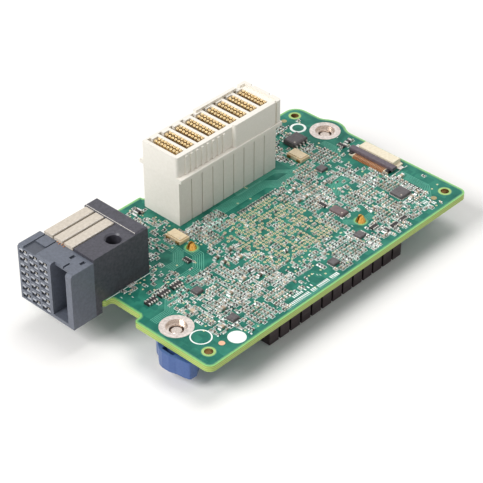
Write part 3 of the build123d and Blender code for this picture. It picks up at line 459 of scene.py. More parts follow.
# Finishes by kind: light and dark tone, roughness, then what differs from the usual
plastics = {
    "beigePlastic": ((238, 233, 224), (233, 228, 218), 0.5),
    "shroudPlastic": ((240, 235, 226), (235, 230, 220), 0.5, 7000, 0.12, slotRecessShade),
    "greyPlastic": ((105, 110, 122), (93, 98, 108), 0.38, 7000, 0.12, noseOpeningShade),
    "blackPlastic": ((80, 79, 88), (60, 59, 66), 0.36, 5000, 0.2),
    "palePlastic": ((214, 204, 190), (194, 184, 170), 0.5),
    "creamPlastic": ((240, 230, 206), (226, 214, 188), 0.45),
    "leverPlastic": ((108, 98, 106), (84, 75, 82), 0.4),
    "chipEpoxy": ((104, 99, 100), (80, 75, 77), 0.42, 12000, 0.2),
    "brownEpoxy": ((122, 104, 104), (96, 80, 82), 0.42, 12000, 0.2),
    "bluePlastic": ((72, 100, 153), (64, 90, 144), 0.34),
    "padRubber": ((150, 152, 160), (128, 130, 140), 0.8),
    "creamLid": ((238, 220, 186), (226, 204, 166), 0.35),
    "arrayBody": ((48, 44, 44), (34, 30, 32), 0.4),
    # Painted highlight: light grey for webs that belong to the grey housing
    "paintedWebHighlight": ((174, 178, 186), (146, 150, 158), 0.42),
    # Painted shade for the insides of the contact loops
    "paintedLoopHoleShade": ((96, 70, 48), (74, 52, 36), 0.6),
    # Painted shade for the dimples of the vias
    "paintedViaHoleShade": ((26, 92, 78), (16, 74, 62), 0.5),
    "rimLaminate": ((176, 206, 128), (150, 186, 106), 0.5),
    "silkInk": ((250, 253, 250), (236, 244, 238), 0.6, 9000, 0.1),
    "trackMask": ((92, 170, 148), (72, 152, 130), 0.4),
}
metals = {
    "darkAnodised": ((96, 86, 88), (74, 66, 68), 0.5, (0.05, 1, 1), 2500, 0.15),
    "tin": ((240, 236, 230), (186, 180, 172), 0.42),
    "plated": ((228, 216, 206), (200, 188, 180), 0.28, (1, 1, 0.2), 5000),
    "gold": ((255, 240, 204), (246, 218, 164), 0.4),
    "brass": ((236, 186, 100), (204, 144, 64), 0.28, (1, 1, 0.15), 4000),
    "copper": ((214, 160, 120), (178, 126, 92), 0.45),
    "oldCopper": ((176, 142, 92), (140, 106, 66), 0.5),
    "wornCopper": ((176, 164, 128), (148, 138, 104), 0.55),
    "paleCopper": ((236, 192, 162), (214, 166, 136), 0.5),
    "tipMetal": ((186, 182, 176), (148, 144, 138), 0.42),
    "springSteel": ((196, 196, 200), (166, 166, 172), 0.28),
    "viaMetal": ((236, 228, 190), (206, 206, 164), 0.5),
    "fieldMetal": ((236, 218, 182), (206, 190, 150), 0.5),
    "padMetal": ((224, 214, 208), (190, 180, 174), 0.5, (1, 1, 1), 1800),
}
bodies = {
    "capBody": ((52, 40, 36), (206, 184, 158), 0.45),
    "solder": ((186, 182, 176), (255, 254, 252), 0.34, 1.0, 7.3),
    "resBody": ((24, 22, 26), (96, 90, 90), 0.4),
}
finishes = {"tealMask": maskFinish(maskLook), "paleBorder": borderFinish(maskLook)}
for makeFinish, table in ((plasticFinish, plastics), (metalFinish, metals), (bodyFinish, bodies)):
    for name, values in table.items():
        finishes[name] = makeFinish(name, *values)
print("finishes ready")

nodeFinish = {
    "tealMask": ["circuit_board"],
    "tin": ["edge_tails", "cable_tabs", "memory_leads"],
    "padMetal": ["screw_pads"],
    "beigePlastic": ["mezzanine_wafers"],
    "shroudPlastic": ["mezzanine_shroud"],
    "gold": ["mezzanine_contacts", "front_contacts"],
    "greyPlastic": ["front_housing"],
    "blackPlastic": ["guide_block", "rear_bar"],
    "palePlastic": ["edge_wafers"],
    "creamPlastic": ["cable_housing"],
    "leverPlastic": ["cable_lever"],
    "copper": ["cable_contacts"],
    "chipEpoxy": ["controller_chip", "memory_chip", "regulator_chip", "small_chips"],
    "brownEpoxy": ["power_chip"],
    "padRubber": ["thermal_pad"],
    "darkAnodised": ["heatsink"],
    "brass": ["push_pins"],
    "springSteel": ["push_pin_springs", "front_screw_spring", "rear_screw_spring"],
    "plated": ["screw_ferrules", "front_captive_screw", "rear_captive_screw"],
    "bluePlastic": ["screw_grips"],
    "creamLid": ["oscillators"],
    "arrayBody": ["resistor_arrays", "chip_resistors"],
    "capBody": ["chip_capacitors", "bulk_capacitors"],
}
for finish, names in nodeFinish.items():
    for name in names:
        slots = nodes[name].data.materials
        slots.clear()
        slots.append(finishes[finish])
print("solids dressed")

topNodes = [
    "mezzanine_wafers", "guide_block", "edge_wafers", "rear_bar", "cable_housing", "cable_lever",
    "cable_contacts", "cable_tabs", "memory_chip", "memory_leads", "regulator_chip", "power_chip",
    "small_chips", "oscillators", "resistor_arrays", "chip_capacitors", "bulk_capacitors", "chip_resistors",
    "screw_pads", "push_pins",
]


# Rectangles in plan that the solids on the top face take up, one for each of their triangles
def takenSpots(names):
    rows = []
    for name in names:
        points, triangles = meshOf(name)
        fan = points[triangles]
        fan = fan[fan[:, :, 2].min(axis=1) > -0.5]
        rows.append(np.concatenate([fan.min(axis=1)[:, :2], fan.max(axis=1)[:, :2]], axis=1))
    return np.concatenate(rows)


# Keeps the spots whose rectangle, with a margin, touches nothing in the list
def clearOf(rects, spots, halfX, halfY, margin):
    x, y = spots[:, 0:1], spots[:, 1:2]
    hx, hy = halfX[:, None] + margin, halfY[:, None] + margin
    hit = (x + hx > rects[None, :, 0]) & (x - hx < rects[None, :, 2])
    hit &= (y + hy > rects[None, :, 1]) & (y - hy < rects[None, :, 3])
    return ~hit.any(axis=1)


# Keeps the spots that lie on the board with a margin all round: some triangle of its top face holds each one
def onLaminate(spots, margin):
    points, triangles = meshOf("circuit_board")
    fan = points[triangles]
    fan = fan[(fan[:, :, 2] > -0.01).all(axis=1)][:, :, :2]
    keep = np.ones(len(spots), bool)
    for angle in np.arange(8) * math.pi / 4:
        p = spots + margin * np.array([math.cos(angle), math.sin(angle)])
        side = []
        for a, b in ((0, 1), (1, 2), (2, 0)):
            leg = fan[:, b] - fan[:, a]
            way = p[:, None] - fan[None, :, a]
            side.append(leg[None, :, 0] * way[:, :, 1] - leg[None, :, 1] * way[:, :, 0])
        side = np.stack(side)
        keep &= ((side >= 0).all(axis=0) | (side <= 0).all(axis=0)).any(axis=1)
    return keep


taken = takenSpots(topNodes)
borderBand = {"width": 0.8, "lift": 0.006}


# Border band: each edge between a wall and a face of the board, swept inwards along the walls' mean normal
def borderShape(look, top):
    points, triangles = meshOf("circuit_board")
    fan = points[triangles]
    across = np.cross(fan[:, 1] - fan[:, 0], fan[:, 2] - fan[:, 0])
    across /= np.linalg.norm(across, axis=1)[:, None]
    atFace = fan[:, :, 2] > -0.01 if top else fan[:, :, 2] < underside + 0.01
    wall = (np.abs(across[:, 2]) < 0.3) & (atFace.sum(axis=1) == 2)
    pairs = fan[wall][atFace[wall]].reshape(-1, 2, 3)
    spots, index = np.unique(np.round(pairs.reshape(-1, 3), 4), axis=0, return_inverse=True)
    index = index.reshape(-1, 2)
    inward = np.zeros_like(spots)
    np.add.at(inward, index[:, 0], -across[wall])
    np.add.at(inward, index[:, 1], -across[wall])
    inward /= np.linalg.norm(inward, axis=1)[:, None]
    up = 1 if top else -1
    both = np.concatenate([spots, spots + inward * look["width"]]) + np.array([0, 0, up * look["lift"]])
    quads = np.stack([index[:, 0], index[:, 1], index[:, 1] + len(spots), index[:, 0] + len(spots)], axis=1)
    side = both[quads]
    wrong = np.cross(side[:, 1] - side[:, 0], side[:, 2] - side[:, 0])[:, 2] * up < 0
    quads[wrong] = quads[wrong][:, ::-1]
    return both, [quads], [np.zeros(len(quads), int)]


def addBorder(look):
    bands = [borderShape(look, True), borderShape(look, False)]
    tone = np.concatenate([np.repeat([1.0, 0.0], len(band[0]) // 2) for band in bands])
    addPiece("board_border", joinShapes(*bands), ["paleBorder"], tone, slot="solder_mask")


addBorder(borderBand)
print("board border done")

chipParts = {
    "length": 0.86,
    "width": 0.44,
    "capHeight": 0.5,
    "resHeight": 0.28,
    "tiny": (0.56, 0.28, 0.22, 0.16, 0.14),
    "tinyAside": 0.21,
    "terminal": 0.2,
    "fillet": 0.12,
    "clear": 0.1,
    "edge": 1.6,
    "block": 5.2,
    "blocksOver": (95, 60),
    "rows": (4, 6),
    "pitchLong": 1.28,
    "pitchShort": 0.82,
    "jitter": 0.05,
    "crowding": (0.6, 1.2),
    "shares": (0.42, 0.32, 0.26),
}

# Section of a two-ended chip from its toe to its body: heights and widths as shares of the whole
chipSection = {
    "toe": 0.02,
    "bulge": 0.02,
    "heights": (0.45, 1.0, 1.0, 0.95),
    "widths": (1.0, 1.1, 1.0, 1.0, 0.93),
    "roof": 0.07,
    "roofShare": 0.4,
}


# Two-ended chip: a roofed section carried along x, low at the toes, full at the ends, slimmer in the body
def chipShape(length, width, height, terminal, fillet, look=chipSection):
    half = length / 2
    x = np.array([half + fillet, half + look["bulge"], half, half - terminal, half - terminal])
    x = np.concatenate([-x, x[::-1]])
    z = np.array([look["toe"]] + [share * height for share in look["heights"]])
    z = np.concatenate([z, z[::-1]])
    w = np.array(look["widths"]) * width / 2
    w = np.concatenate([w, w[::-1]])
    roof = np.minimum(look["roof"], look["roofShare"] * z)
    y = np.stack([-w, w, w, w - roof, roof - w, -w], axis=1)
    up = np.stack([0 * z, 0 * z, z - roof, z, z, z - roof], axis=1)
    rings = np.stack([np.repeat(x[:, None], 6, axis=1), y, up], axis=2)
    isBody = np.repeat(np.array([0, 0, 0, 0, 1, 0, 0, 0, 0]), 6)
    return ringShape(rings, finishOf=[isBody, np.zeros(2, int)])


# Where small parts stand: x range, y range, share of spots filled; later zones go over earlier ones
partZones = [
    ((1.5, 91.0), (1.2, 56.6), 0.45),
    ((9.0, 36.0), (1.6, 20.0), 0.9),
    ((19.0, 31.0), (18.0, 26.0), 0.9),
    ((28.0, 38.0), (20.5, 29.5), 0.65),
    ((31.0, 46.0), (29.5, 41.5), 0.9),
    ((57.0, 71.0), (24.0, 36.2), 0.88),
    ((66.0, 84.5), (21.0, 44.0), 0.86),
    ((66.0, 86.0), (7.0, 22.0), 0.88),
    ((45.0, 78.0), (2.2, 11.0), 0.82),
    ((17.0, 32.0), (42.5, 56.0), 0.66),
    ((68.0, 84.0), (44.0, 56.5), 0.6),
    ((4.0, 19.5), (27.4, 34.0), 0.5),
    ((10.0, 20.0), (15.5, 25.2), 0.66),
    ((37.0, 59.0), (14.0, 35.0), 0.06),
    ((44.0, 71.0), (36.2, 42.6), 0.0),
    ((19.0, 29.4), (26.4, 37.4), 0.03),
    ((0.0, 9.6), (18.5, 32.0), 0.05),
    ((0.0, 9.4), (0.0, 12.6), 0.0),
    ((9.0, 14.8), (0.0, 6.0), 0.0),
    ((85.4, 93.0), (0.0, 18.4), 0.06),
    ((60.8, 69.0), (9.4, 15.6), 0.1),
    ((82.6, 95.0), (34.0, 58.1), 0.04),
    ((68.6, 76.0), (22.4, 27.4), 0.2),
    ((33.0, 43.0), (5.0, 8.0), 0.2),
    ((79.0, 84.6), (23.5, 33.0), 0.22),
    ((0.0, 93.0), (0.0, 1.6), 0.0),
    ((29.0, 46.0), (0.0, 3.4), 0.0),
    ((32.0, 70.0), (40.8, 58.1), 0.0),
]


def zoneShare(spots):
    share = np.zeros(len(spots))
    for (x0, x1), (y0, y1), fill in partZones:
        inside = (spots[:, 0] > x0) & (spots[:, 0] < x1) & (spots[:, 1] > y0) & (spots[:, 1] < y1)
        share[inside] = fill
    return share


# Spots thrown over the board, and spots kept by a least share plus a part of their zone's share
def scatterSpots(look):
    return np.column_stack([dice.uniform(*span, look["tries"]) for span in look["spans"]])


def thinSpots(spots, least, gain):
    return spots[dice.random(len(spots)) < least + gain * zoneShare(spots)]


# Spots in blocks: each block keeps one direction, as rows of parts do round a chip
def partSpots(look):
    steps = [np.arange(0, length, look["block"]) for length in look["blocksOver"]]
    blocks = np.stack(np.meshgrid(*steps, indexing="ij"), axis=2).reshape(-1, 2)
    lying = dice.random(len(blocks)) < 0.5
    long, short = [(np.arange(n) - (n - 1) / 2) for n in look["rows"]]
    long, short = long * look["pitchLong"], short * look["pitchShort"]
    cell = np.stack(np.meshgrid(long, short, indexing="ij"), axis=2).reshape(-1, 2)
    cells = np.where(lying[:, None, None], cell[None], cell[None, :, ::-1])
    spots = (blocks[:, None] + look["block"] / 2 + cells).reshape(-1, 2)
    turns = np.repeat(np.where(lying, 0.0, math.pi / 2), len(cell))
    crowded = np.repeat(dice.uniform(*look["crowding"], len(blocks)), len(cell))
    keep = dice.random(len(spots)) < zoneShare(spots) * crowded
    spots = spots + dice.normal(0, look["jitter"], spots.shape)
    halfLong, halfShort = look["length"] / 2 + look["fillet"], look["width"] / 2
    halfX = np.where(turns == 0, halfLong, halfShort)
    halfY = np.where(turns == 0, halfShort, halfLong)
    keep &= clearOf(taken, spots, halfX, halfY, look["clear"]) & onLaminate(spots, look["edge"])
    half = np.column_stack([halfX, halfY])
    rects = np.concatenate([spots - half, spots + half], axis=1)
    return spots[keep], turns[keep], rects[keep]


smallSpots, smallTurns, smallRects = partSpots(chipParts)
smallKind = dice.choice(3, len(smallSpots), p=chipParts["shares"])
aside = np.column_stack([-np.sin(smallTurns), np.cos(smallTurns)])


# Capacitors, flat resistors and pairs of tiny chips, each with its own tone
def addSmallParts(look):
    pairs = aside[smallKind == 2] * look["tinyAside"]
    tinySpots = np.concatenate([smallSpots[smallKind == 2] + pairs, smallSpots[smallKind == 2] - pairs])
    tinyTurns = np.tile(smallTurns[smallKind == 2], 2)
    flat, upright = smallKind == 1, smallKind == 0
    size, ends = (look["length"], look["width"]), (look["terminal"], look["fillet"])
    cap, res = chipShape(*size, look["capHeight"], *ends), chipShape(*size, look["resHeight"], *ends)
    for name, shape, spots, turns, body, slot in (
        ("small_capacitors", cap, smallSpots[upright], smallTurns[upright], "capBody", "capacitor_body"),
        ("small_resistors", res, smallSpots[flat], smallTurns[flat], "resBody", "resistor_body"),
        ("tiny_chips", chipShape(*look["tiny"]), tinySpots, tinyTurns, "capBody", "capacitor_body"),
    ):
        tone = np.repeat(dice.random(len(spots)), len(shape[0]))
        addPiece(name, repeatShape(shape, spots, turns), ["solder", body], tone, slot=slot)


addSmallParts(chipParts)
print("small parts done:", len(smallSpots))

dressLook = {"stray": 0.035, "twist": 0.03, "heights": (0.8, 1.0)}


# Solder-ended dress for the chips that the solids place: one chip shape in each solid's box, slightly astray
def dressChips(node, name, body, slot, terminal, fillet, look=dressLook):
    low, high = solidBoxes(node)
    size = high - low
    shape = chipShape(size[0, :2].max(), size[0, :2].min(), size[0, 2], terminal, fillet)
    middle = (low + high)[:, :2] / 2
    places = np.column_stack([middle + dice.normal(0, look["stray"], middle.shape), low[:, 2]])
    turns = np.where(size[:, 1] > size[:, 0], math.pi / 2, 0.0) + dice.normal(0, look["twist"], len(low))
    tone = np.repeat(dice.random(len(places)), len(shape[0]))
    points, faces, finishOf = repeatShape(shape, places, turns)
    points[:, 2] *= np.repeat(dice.uniform(*look["heights"], len(places)), len(shape[0]))
    piece = addPiece(name, (points, faces, finishOf), ["solder", body], tone, slot=slot)
    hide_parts(node)


dressChips("chip_capacitors", "placed_capacitors", "capBody", "capacitor_body", terminal=0.22, fillet=0.1)
dressChips("chip_resistors", "row_resistors", "resBody", "resistor_body", terminal=0.28, fillet=0.16)
dressChips("bulk_capacitors", "large_capacitors", "capBody", "capacitor_body", terminal=0.42, fillet=0.25)
print("placed chips dressed")

# Single parts seen in the photograph: x, y, turned, length, width, height, tone
loneParts = {
    "light": [
        (11.7, 16.7, 1, 2.2, 1.0, 0.7, 1.0), (86.3, 16.2, 0, 1.7, 0.9, 0.8, 0.95),
        (81.2, 8.6, 0, 1.5, 0.8, 0.7, 0.8), (83.6, 8.7, 0, 1.5, 0.8, 0.7, 0.75),
        (70.6, 12.2, 0, 1.6, 0.8, 0.8, 0.5),
    ],
    "dark": [
        (89.0, 36.2, 0, 2.0, 1.1, 0.7, 0.2), (31.8, 17.3, 1, 1.7, 1.0, 0.7, 0.5),
        (29.7, 53.6, 0, 1.8, 1.5, 0.9, 0.1), (66.1, 4.3, 0, 1.6, 1.4, 0.7, 0.3),
        (24.6, 50.2, 1, 1.6, 0.9, 0.7, 0.2), (35.6, 37.2, 1, 1.6, 0.9, 0.7, 0.4),
    ],
    "terminal": 0.25,
    "fillet": 0.25,
}


def addLoneParts(look):
    for kind, body, slot in (("light", "capBody", "capacitor_body"), ("dark", "resBody", "resistor_body")):
        shapes, tone = [], []
        for x, y, turned, length, width, height, shade in look[kind]:
            shape = chipShape(length, width, height, look["terminal"] * length, look["fillet"])
            shapes.append(repeatShape(shape, [(x, y)], [turned * math.pi / 2]))
            tone += [shade] * len(shape[0])
        addPiece("lone_parts_" + kind, joinShapes(*shapes), ["solder", body], tone, slot=slot)


addLoneParts(loneParts)

arrayLook = {
    "places": [
        (65.2, 7.4, 0), (72.8, 4.4, 0), (69.4, 4.3, 0), (63.4, 22.6, 1), (24.4, 31.2, 1), (86.6, 36.4, 1),
    ],
    "length": 2.2,
    "width": 1.2,
    "height": 0.5,
    "terminals": 4,
    "foot": (0.3, 0.3),
    "wideFoot": (0.42, 0.5),
    "footIn": 0.1,
    "proud": 0.02,
    "bevels": (0.06, 0.05),
}


# Chip array: dark block with pale terminals along its two sides; the solids' arrays get terminals only
def addArrays(look):
    count, (bevel, footBevel) = look["terminals"], look["bevels"]
    body = blockShape(look["length"], look["width"], look["height"], bevel)
    foot = blockShape(*look["foot"], look["height"] + look["proud"], footBevel)
    x = (np.arange(count) - (count - 1) / 2) * (look["length"] / count)
    feet = [moveShape(foot, i, side * look["width"] / 2, finish=1) for i in x for side in (-1, 1)]
    places = np.array(look["places"])
    shapes = [repeatShape(joinShapes(body, *feet), places[:, :2], places[:, 2] * math.pi / 2)]
    for low, high in zip(*solidBoxes("resistor_arrays")):
        foot = blockShape(*look["wideFoot"], high[2] + look["proud"], footBevel)
        x = low[0] + (np.arange(count) + 0.5) * (high[0] - low[0]) / count
        ends = [(i, y) for i in x for y in (low[1] + look["footIn"], high[1] - look["footIn"])]
        shapes.append(moveShape(repeatShape(foot, ends), finish=1))
    addPiece("chip_arrays", joinShapes(*shapes), ["arrayBody", "tin"], slot="resistor_body")


addArrays(arrayLook)
print("lone parts and arrays done")

viaLook = {
    "loose": (0.27, 0.1),
    "field": (0.4, 0.2),
    "pins": (0.36, 0.2),
    "height": 0.02,
    "sides": 8,
    "section": (0.9, 1.4, 0.3),
    "clear": 0.27,
    "margin": 0.02,
    "edge": 0.9,
    "fieldPitch": 1.0,
    "fieldSteps": 11,
    "fieldShift": (0.8, 1.6),
    "fieldShare": 0.8,
    "tries": 1700,
    "spans": ((3, 91), (2, 56)),
    "thinning": (0.04, 0.8),
    "underShare": 0.4,
}


# Via: a flat ring with a dimple, turned from a profile of radius and height; the dimple's floor takes a
# second finish, painted shade for the drilled hole
def viaShape(look, kind):
    (r, h), z = look[kind], look["height"]
    outer, inner, dimple = look["section"]
    profile = [(r, 0), (outer * r, z), (inner * h, z), (h, dimple * z)]
    points, faces, _ = turnedShape(profile, look["sides"])
    return points, faces, [np.zeros(len(faces[0]), int), np.array([0, 1])]


# Vias: a square field over the controller, loose ones between the small parts, rows under the tall connector
def addVias(look):
    chipLow, chipHigh = boxOf("controller_chip")
    middle = (chipLow + chipHigh)[:2] / 2
    grid = np.arange(-look["fieldSteps"], look["fieldSteps"] + 1) * look["fieldPitch"]
    field = np.stack(np.meshgrid(grid, grid, indexing="ij"), axis=2).reshape(-1, 2)
    field = field + middle + np.array(look["fieldShift"])
    field = field[dice.random(len(field)) < look["fieldShare"]]
    loose = scatterSpots(look)
    under = loose[dice.random(len(loose)) < look["underShare"]]
    loose = thinSpots(loose, *look["thinning"])
    crowd = np.concatenate([taken, smallRects])
    for name, kind, spots, finish in (
        ("field_vias", "field", field, "fieldMetal"), ("vias", "loose", loose, "viaMetal")
    ):
        size = np.full(len(spots), look["clear"])
        spots = spots[clearOf(crowd, spots, size, size, look["margin"]) & onLaminate(spots, look["edge"])]
        # On the top the dimples get a darker teal, painted shade in the via holes
        addPiece(name, repeatShape(viaShape(look, kind), spots), [finish, "paintedViaHoleShade"], slot="tinned_pad")
    low, high = solidBoxes("mezzanine_contacts")
    rows = repeatShape(viaShape(look, "pins"), (low + high)[:, :2] / 2)
    under = repeatShape(viaShape(look, "loose"), under[onLaminate(under, look["edge"])])
    # Under the board the dimples take the near-black array body colour, painted shade in the via and pin
    # holes
    addPiece("vias_under", underneath(joinShapes(under, rows)), ["viaMetal", "arrayBody"], slot="tinned_pad")


addVias(viaLook)
print("vias done")

# Bundles of tracks under the mask: path of points, number of tracks, pitch
trackRuns = {
    "width": 0.2,
    "height": 0.018,
    "top": 0.72,
    "runs": [
        ([(34.5, 36.6), (41.0, 36.6), (44.0, 39.6), (60.0, 39.6), (63.2, 36.6), (71.5, 36.6)], 8, 0.42),
        ([(52.0, 41.4), (66.0, 41.4), (69.5, 38.0), (73.2, 38.0)], 4, 0.4),
        ([(19.0, 27.2), (24.2, 27.2), (28.0, 31.0), (28.0, 35.2)], 6, 0.5),
        ([(19.2, 32.2), (22.4, 32.2), (25.6, 35.4), (25.6, 38.6)], 6, 0.46),
        ([(2.8, 20.8), (8.0, 20.8), (10.6, 23.4), (18.0, 23.4)], 5, 0.46),
        ([(87.4, 18.0), (87.4, 9.4), (84.4, 6.4), (78.0, 6.4)], 6, 0.44),
        ([(61.6, 14.4), (64.8, 11.2), (69.0, 11.2)], 5, 0.42),
        ([(69.2, 23.0), (72.2, 26.0), (76.6, 26.0)], 6, 0.42),
        ([(84.6, 41.2), (84.6, 36.6), (80.6, 32.6)], 5, 0.44),
        ([(14.8, 2.6), (26.4, 2.6), (27.6, 1.4), (44.0, 1.4)], 3, 0.36),
        ([(72.0, 51.8), (76.6, 51.8), (80.4, 55.6)], 4, 0.46),
    ],
}


# Bundle: each point moves sideways along the mitre of its legs, by (track number) x pitch / cos(half turn)
def bundleShape(path, count, pitch, width, height, top):
    path = np.array(path, float)
    legs = np.diff(path, axis=0)
    legs /= np.linalg.norm(legs, axis=1)[:, None]
    normal = np.column_stack([-legs[:, 1], legs[:, 0]])
    before = np.concatenate([normal[:1], normal])
    after = np.concatenate([normal, normal[-1:]])
    mitre = (before + after) / (1 + np.einsum("ij,ij->i", before, after))[:, None]
    sides = [(-0.5, 0.0), (-top / 2, height), (top / 2, height), (0.5, 0.0)]
    shapes = []
    for track in (np.arange(count) - (count - 1) / 2) * pitch:
        lines = [(path + mitre * (track + s * width), z) for s, z in sides]
        rings = [np.column_stack([line, np.full(len(path), z)]) for line, z in lines]
        shapes.append(ringShape(np.stack(rings, axis=1)))
    return joinShapes(*shapes)


def addTracks(look):
    shapes = [bundleShape(*run, look["width"], look["height"], look["top"]) for run in look["runs"]]
    addPiece("tracks", joinShapes(*shapes), ["trackMask"], slot="solder_mask")


addTracks(trackRuns)
print("tracks done")

silkLook = {
    "line": 0.1,
    "height": 0.012,
    "length": 1.2,
    "across": 0.7,
    "aside": 0.39,
    "ends": 0.66,
    "outlined": 0.8,
    "tries": 1200,
    "spans": ((3, 90), (2, 56)),
    "thinning": (0.02, 1.15),
    "dash": (0.55, 0.14),
    "dashClear": 0.3,
    "edge": 1.2,
}


# White print: bars along most small parts and across one end, plain dashes between them
def addSilk(look):
    low, high = solidBoxes("chip_capacitors")
    spots = np.concatenate([smallSpots, (low + high)[:, :2] / 2])
    capTurns = np.where((high - low)[:, 1] > (high - low)[:, 0], math.pi / 2, 0.0)
    turns = np.concatenate([smallTurns, capTurns])
    marked = dice.random(len(spots)) < look["outlined"]
    spots, turns = spots[marked], turns[marked]
    side = np.column_stack([-np.sin(turns), np.cos(turns)]) * look["aside"]
    bar = blockShape(look["length"], look["line"], look["height"])
    shapes = [repeatShape(bar, np.concatenate([spots + side, spots - side]), np.tile(turns, 2))]
    along = np.column_stack([np.cos(turns), np.sin(turns)]) * look["ends"]
    endBar = blockShape(look["line"], look["across"], look["height"])
    shapes.append(repeatShape(endBar, spots + along, turns))
    dashes = thinSpots(scatterSpots(look), *look["thinning"])
    size = np.full(len(dashes), look["dashClear"])
    crowd = np.concatenate([taken, smallRects])
    dashes = dashes[clearOf(crowd, dashes, size, 0.5 * size, 0.0) & onLaminate(dashes, look["edge"])]
    turns = dice.integers(0, 2, len(dashes)) * math.pi / 2
    shapes.append(repeatShape(blockShape(*look["dash"], look["height"]), dashes, turns))
    addPiece("silk_bars", joinShapes(*shapes), ["silkInk"], slot="solder_mask")


addSilk(silkLook)

markLook = {
    "rings": [(6.52, 9.1, 2.65, 0.34), (85.3, 50.3, 2.2, 0.66)],
    "discs": [(12.1, 3.2, 2.2)],
    "height": 0.012,
    "rows": [
        (28.0, 2.0, 46.0, 1.15), (31.0, 3.5, 38.0, 0.8), (62.6, 15.6, 68.4, 0.9), (78.6, 3.3, 84.0, 1.3),
        (78.6, 5.0, 84.0, 1.3),
    ],
    "strokePitch": 0.56,
    "stroke": 0.34,
    "strokeShare": 0.85,
    "lines": [
        ((0.9, 34.3), (15.2, 34.3), 0.2),
        ((84.2, 18.3), (91.4, 18.3), 0.14),
        ((74.0, 44.0), (74.0, 49.0), 0.14),
    ],
}


# Blank printed rings, a disc, rows of plain strokes and a few lines
def addMarks(look):
    h = look["height"]
    shapes = []
    for x, y, radius, line in look["rings"]:
        ring = turnedShape([(radius, 0), (radius, h), (radius - line, h), (radius - line, 0)], 40, "joined")
        shapes.append(moveShape(ring, x, y))
    for x, y, radius in look["discs"]:
        shapes.append(moveShape(turnedShape([(radius, 0), (radius, h)], 36), x, y))
    for x0, y, x1, tall in look["rows"]:
        x = np.arange(x0, x1, look["strokePitch"])
        x = x[dice.random(len(x)) < look["strokeShare"]]
        places = np.column_stack([x, np.full(len(x), y)])
        shapes.append(repeatShape(blockShape(look["stroke"], tall, h), places))
    for (x0, y0), (x1, y1), line in look["lines"]:
        bar = blockShape(math.hypot(x1 - x0, y1 - y0), line, h)
        shapes.append(repeatShape(bar, [((x0 + x1) / 2, (y0 + y1) / 2)], [math.atan2(y1 - y0, x1 - x0)]))
    addPiece("silk_marks", joinShapes(*shapes), ["silkInk"], slot="solder_mask")


addMarks(markLook)
print("print done")

barrelLook = {
    "tooling": [(4.09, 4.33), (89.09, 4.33), (89.09, 54.86)],
    "toolingRadius": 1.1,
    "screws": [(5.33, 15.73), (89.07, 44.18)],
    "screwRadius": 2.6,
    "brightDots": [(8.2, 4.2)],
    "wornDots": [(84.9, 4.5), (85.2, 55.2)],
    "dot": 0.78,
    "gap": 0.005,
    "barrelWall": 0.03,
    "linerWall": 0.025,
    "linerEnds": (0.06, -0.78),
    "rim": (0.55, 0.5, -0.02),
    "plate": 0.03,
}


# Tube with square ends: the four corners of its wall carried round z
def tubeShape(outer, inner, top, bottom, sides):
    return turnedShape([(outer, top), (inner, top), (inner, bottom), (outer, bottom)], sides, "joined")


# Plated barrels in the holes with a pale rim, and copper dots for alignment
def addBarrels(look):
    t, s, gap, h = look["toolingRadius"], look["screwRadius"], look["gap"], look["plate"]
    barrel = tubeShape(t - gap, t - look["barrelWall"], 0.0, underside, 28)
    liner = tubeShape(s - gap, s - look["linerWall"], *look["linerEnds"], 36)
    foot, shoulder, inside = [t + reach for reach in look["rim"]]
    rim = turnedShape([(foot, 0), (shoulder, h), (inside, h), (inside, 0)], 28, "joined")
    dot = turnedShape([(look["dot"], 0), (look["dot"], h)], 16)
    liners = moveShape(repeatShape(liner, look["screws"]), finish=1)
    shapes = joinShapes(repeatShape(barrel, look["tooling"]), liners)
    addPiece("plated_barrels", shapes, ["oldCopper", "plated"], slot="tinned_pad")
    rims = repeatShape(rim, look["tooling"])
    addPiece("hole_rims", joinShapes(rims, underneath(rims)), ["rimLaminate"], slot="solder_mask")
    worn = moveShape(repeatShape(dot, look["wornDots"]), finish=1)
    dots = joinShapes(repeatShape(dot, look["brightDots"]), worn)
    addPiece("alignment_dots", dots, ["paleCopper", "wornCopper"], slot="tinned_pad")


addBarrels(barrelLook)

footLook = {
    "chips": [("regulator_chip", 8, "xy"), ("power_chip", 6, "x"), ("small_chips", 4, "x")],
    "out": 0.28,
    "share": 0.55,
    "height": 0.12,
    "bevel": 0.04,
}


# Solder feet of the chips: (node, feet on a side, axes that those sides face)
def addFeet(look):
    shapes = []
    for node, count, sides in look["chips"]:
        for low, high in zip(*solidBoxes(node)):
            mid, half = (low + high) / 2, (high - low) / 2
            for axis in sides:
                along = 1 if axis == "x" else 0
                pitch = 2 * half[along] / count
                steps = (np.arange(count) - (count - 1) / 2) * pitch
                turns = np.full(count, 0.0 if axis == "x" else math.pi / 2)
                foot = blockShape(2 * look["out"], look["share"] * pitch, look["height"], look["bevel"])
                for side in (-1, 1):
                    places = np.repeat(mid[None, :2], count, axis=0)
                    places[:, along] += steps
                    places[:, 1 - along] += side * half[1 - along]
                    shapes.append(repeatShape(foot, places, turns))
    addPiece("solder_feet", joinShapes(*shapes), ["tin"], slot="tinned_pad")


addFeet(footLook)

oscillatorLook = {
    "terminal": (0.5, 1.1, 0.7, 0.05),
    "inset": 0.9,
    "dot": 0.22,
    "dotHeight": 0.012,
    "lidDot": (0.8, 0.9),
    "chipDot": (0.7, 0.7),
}


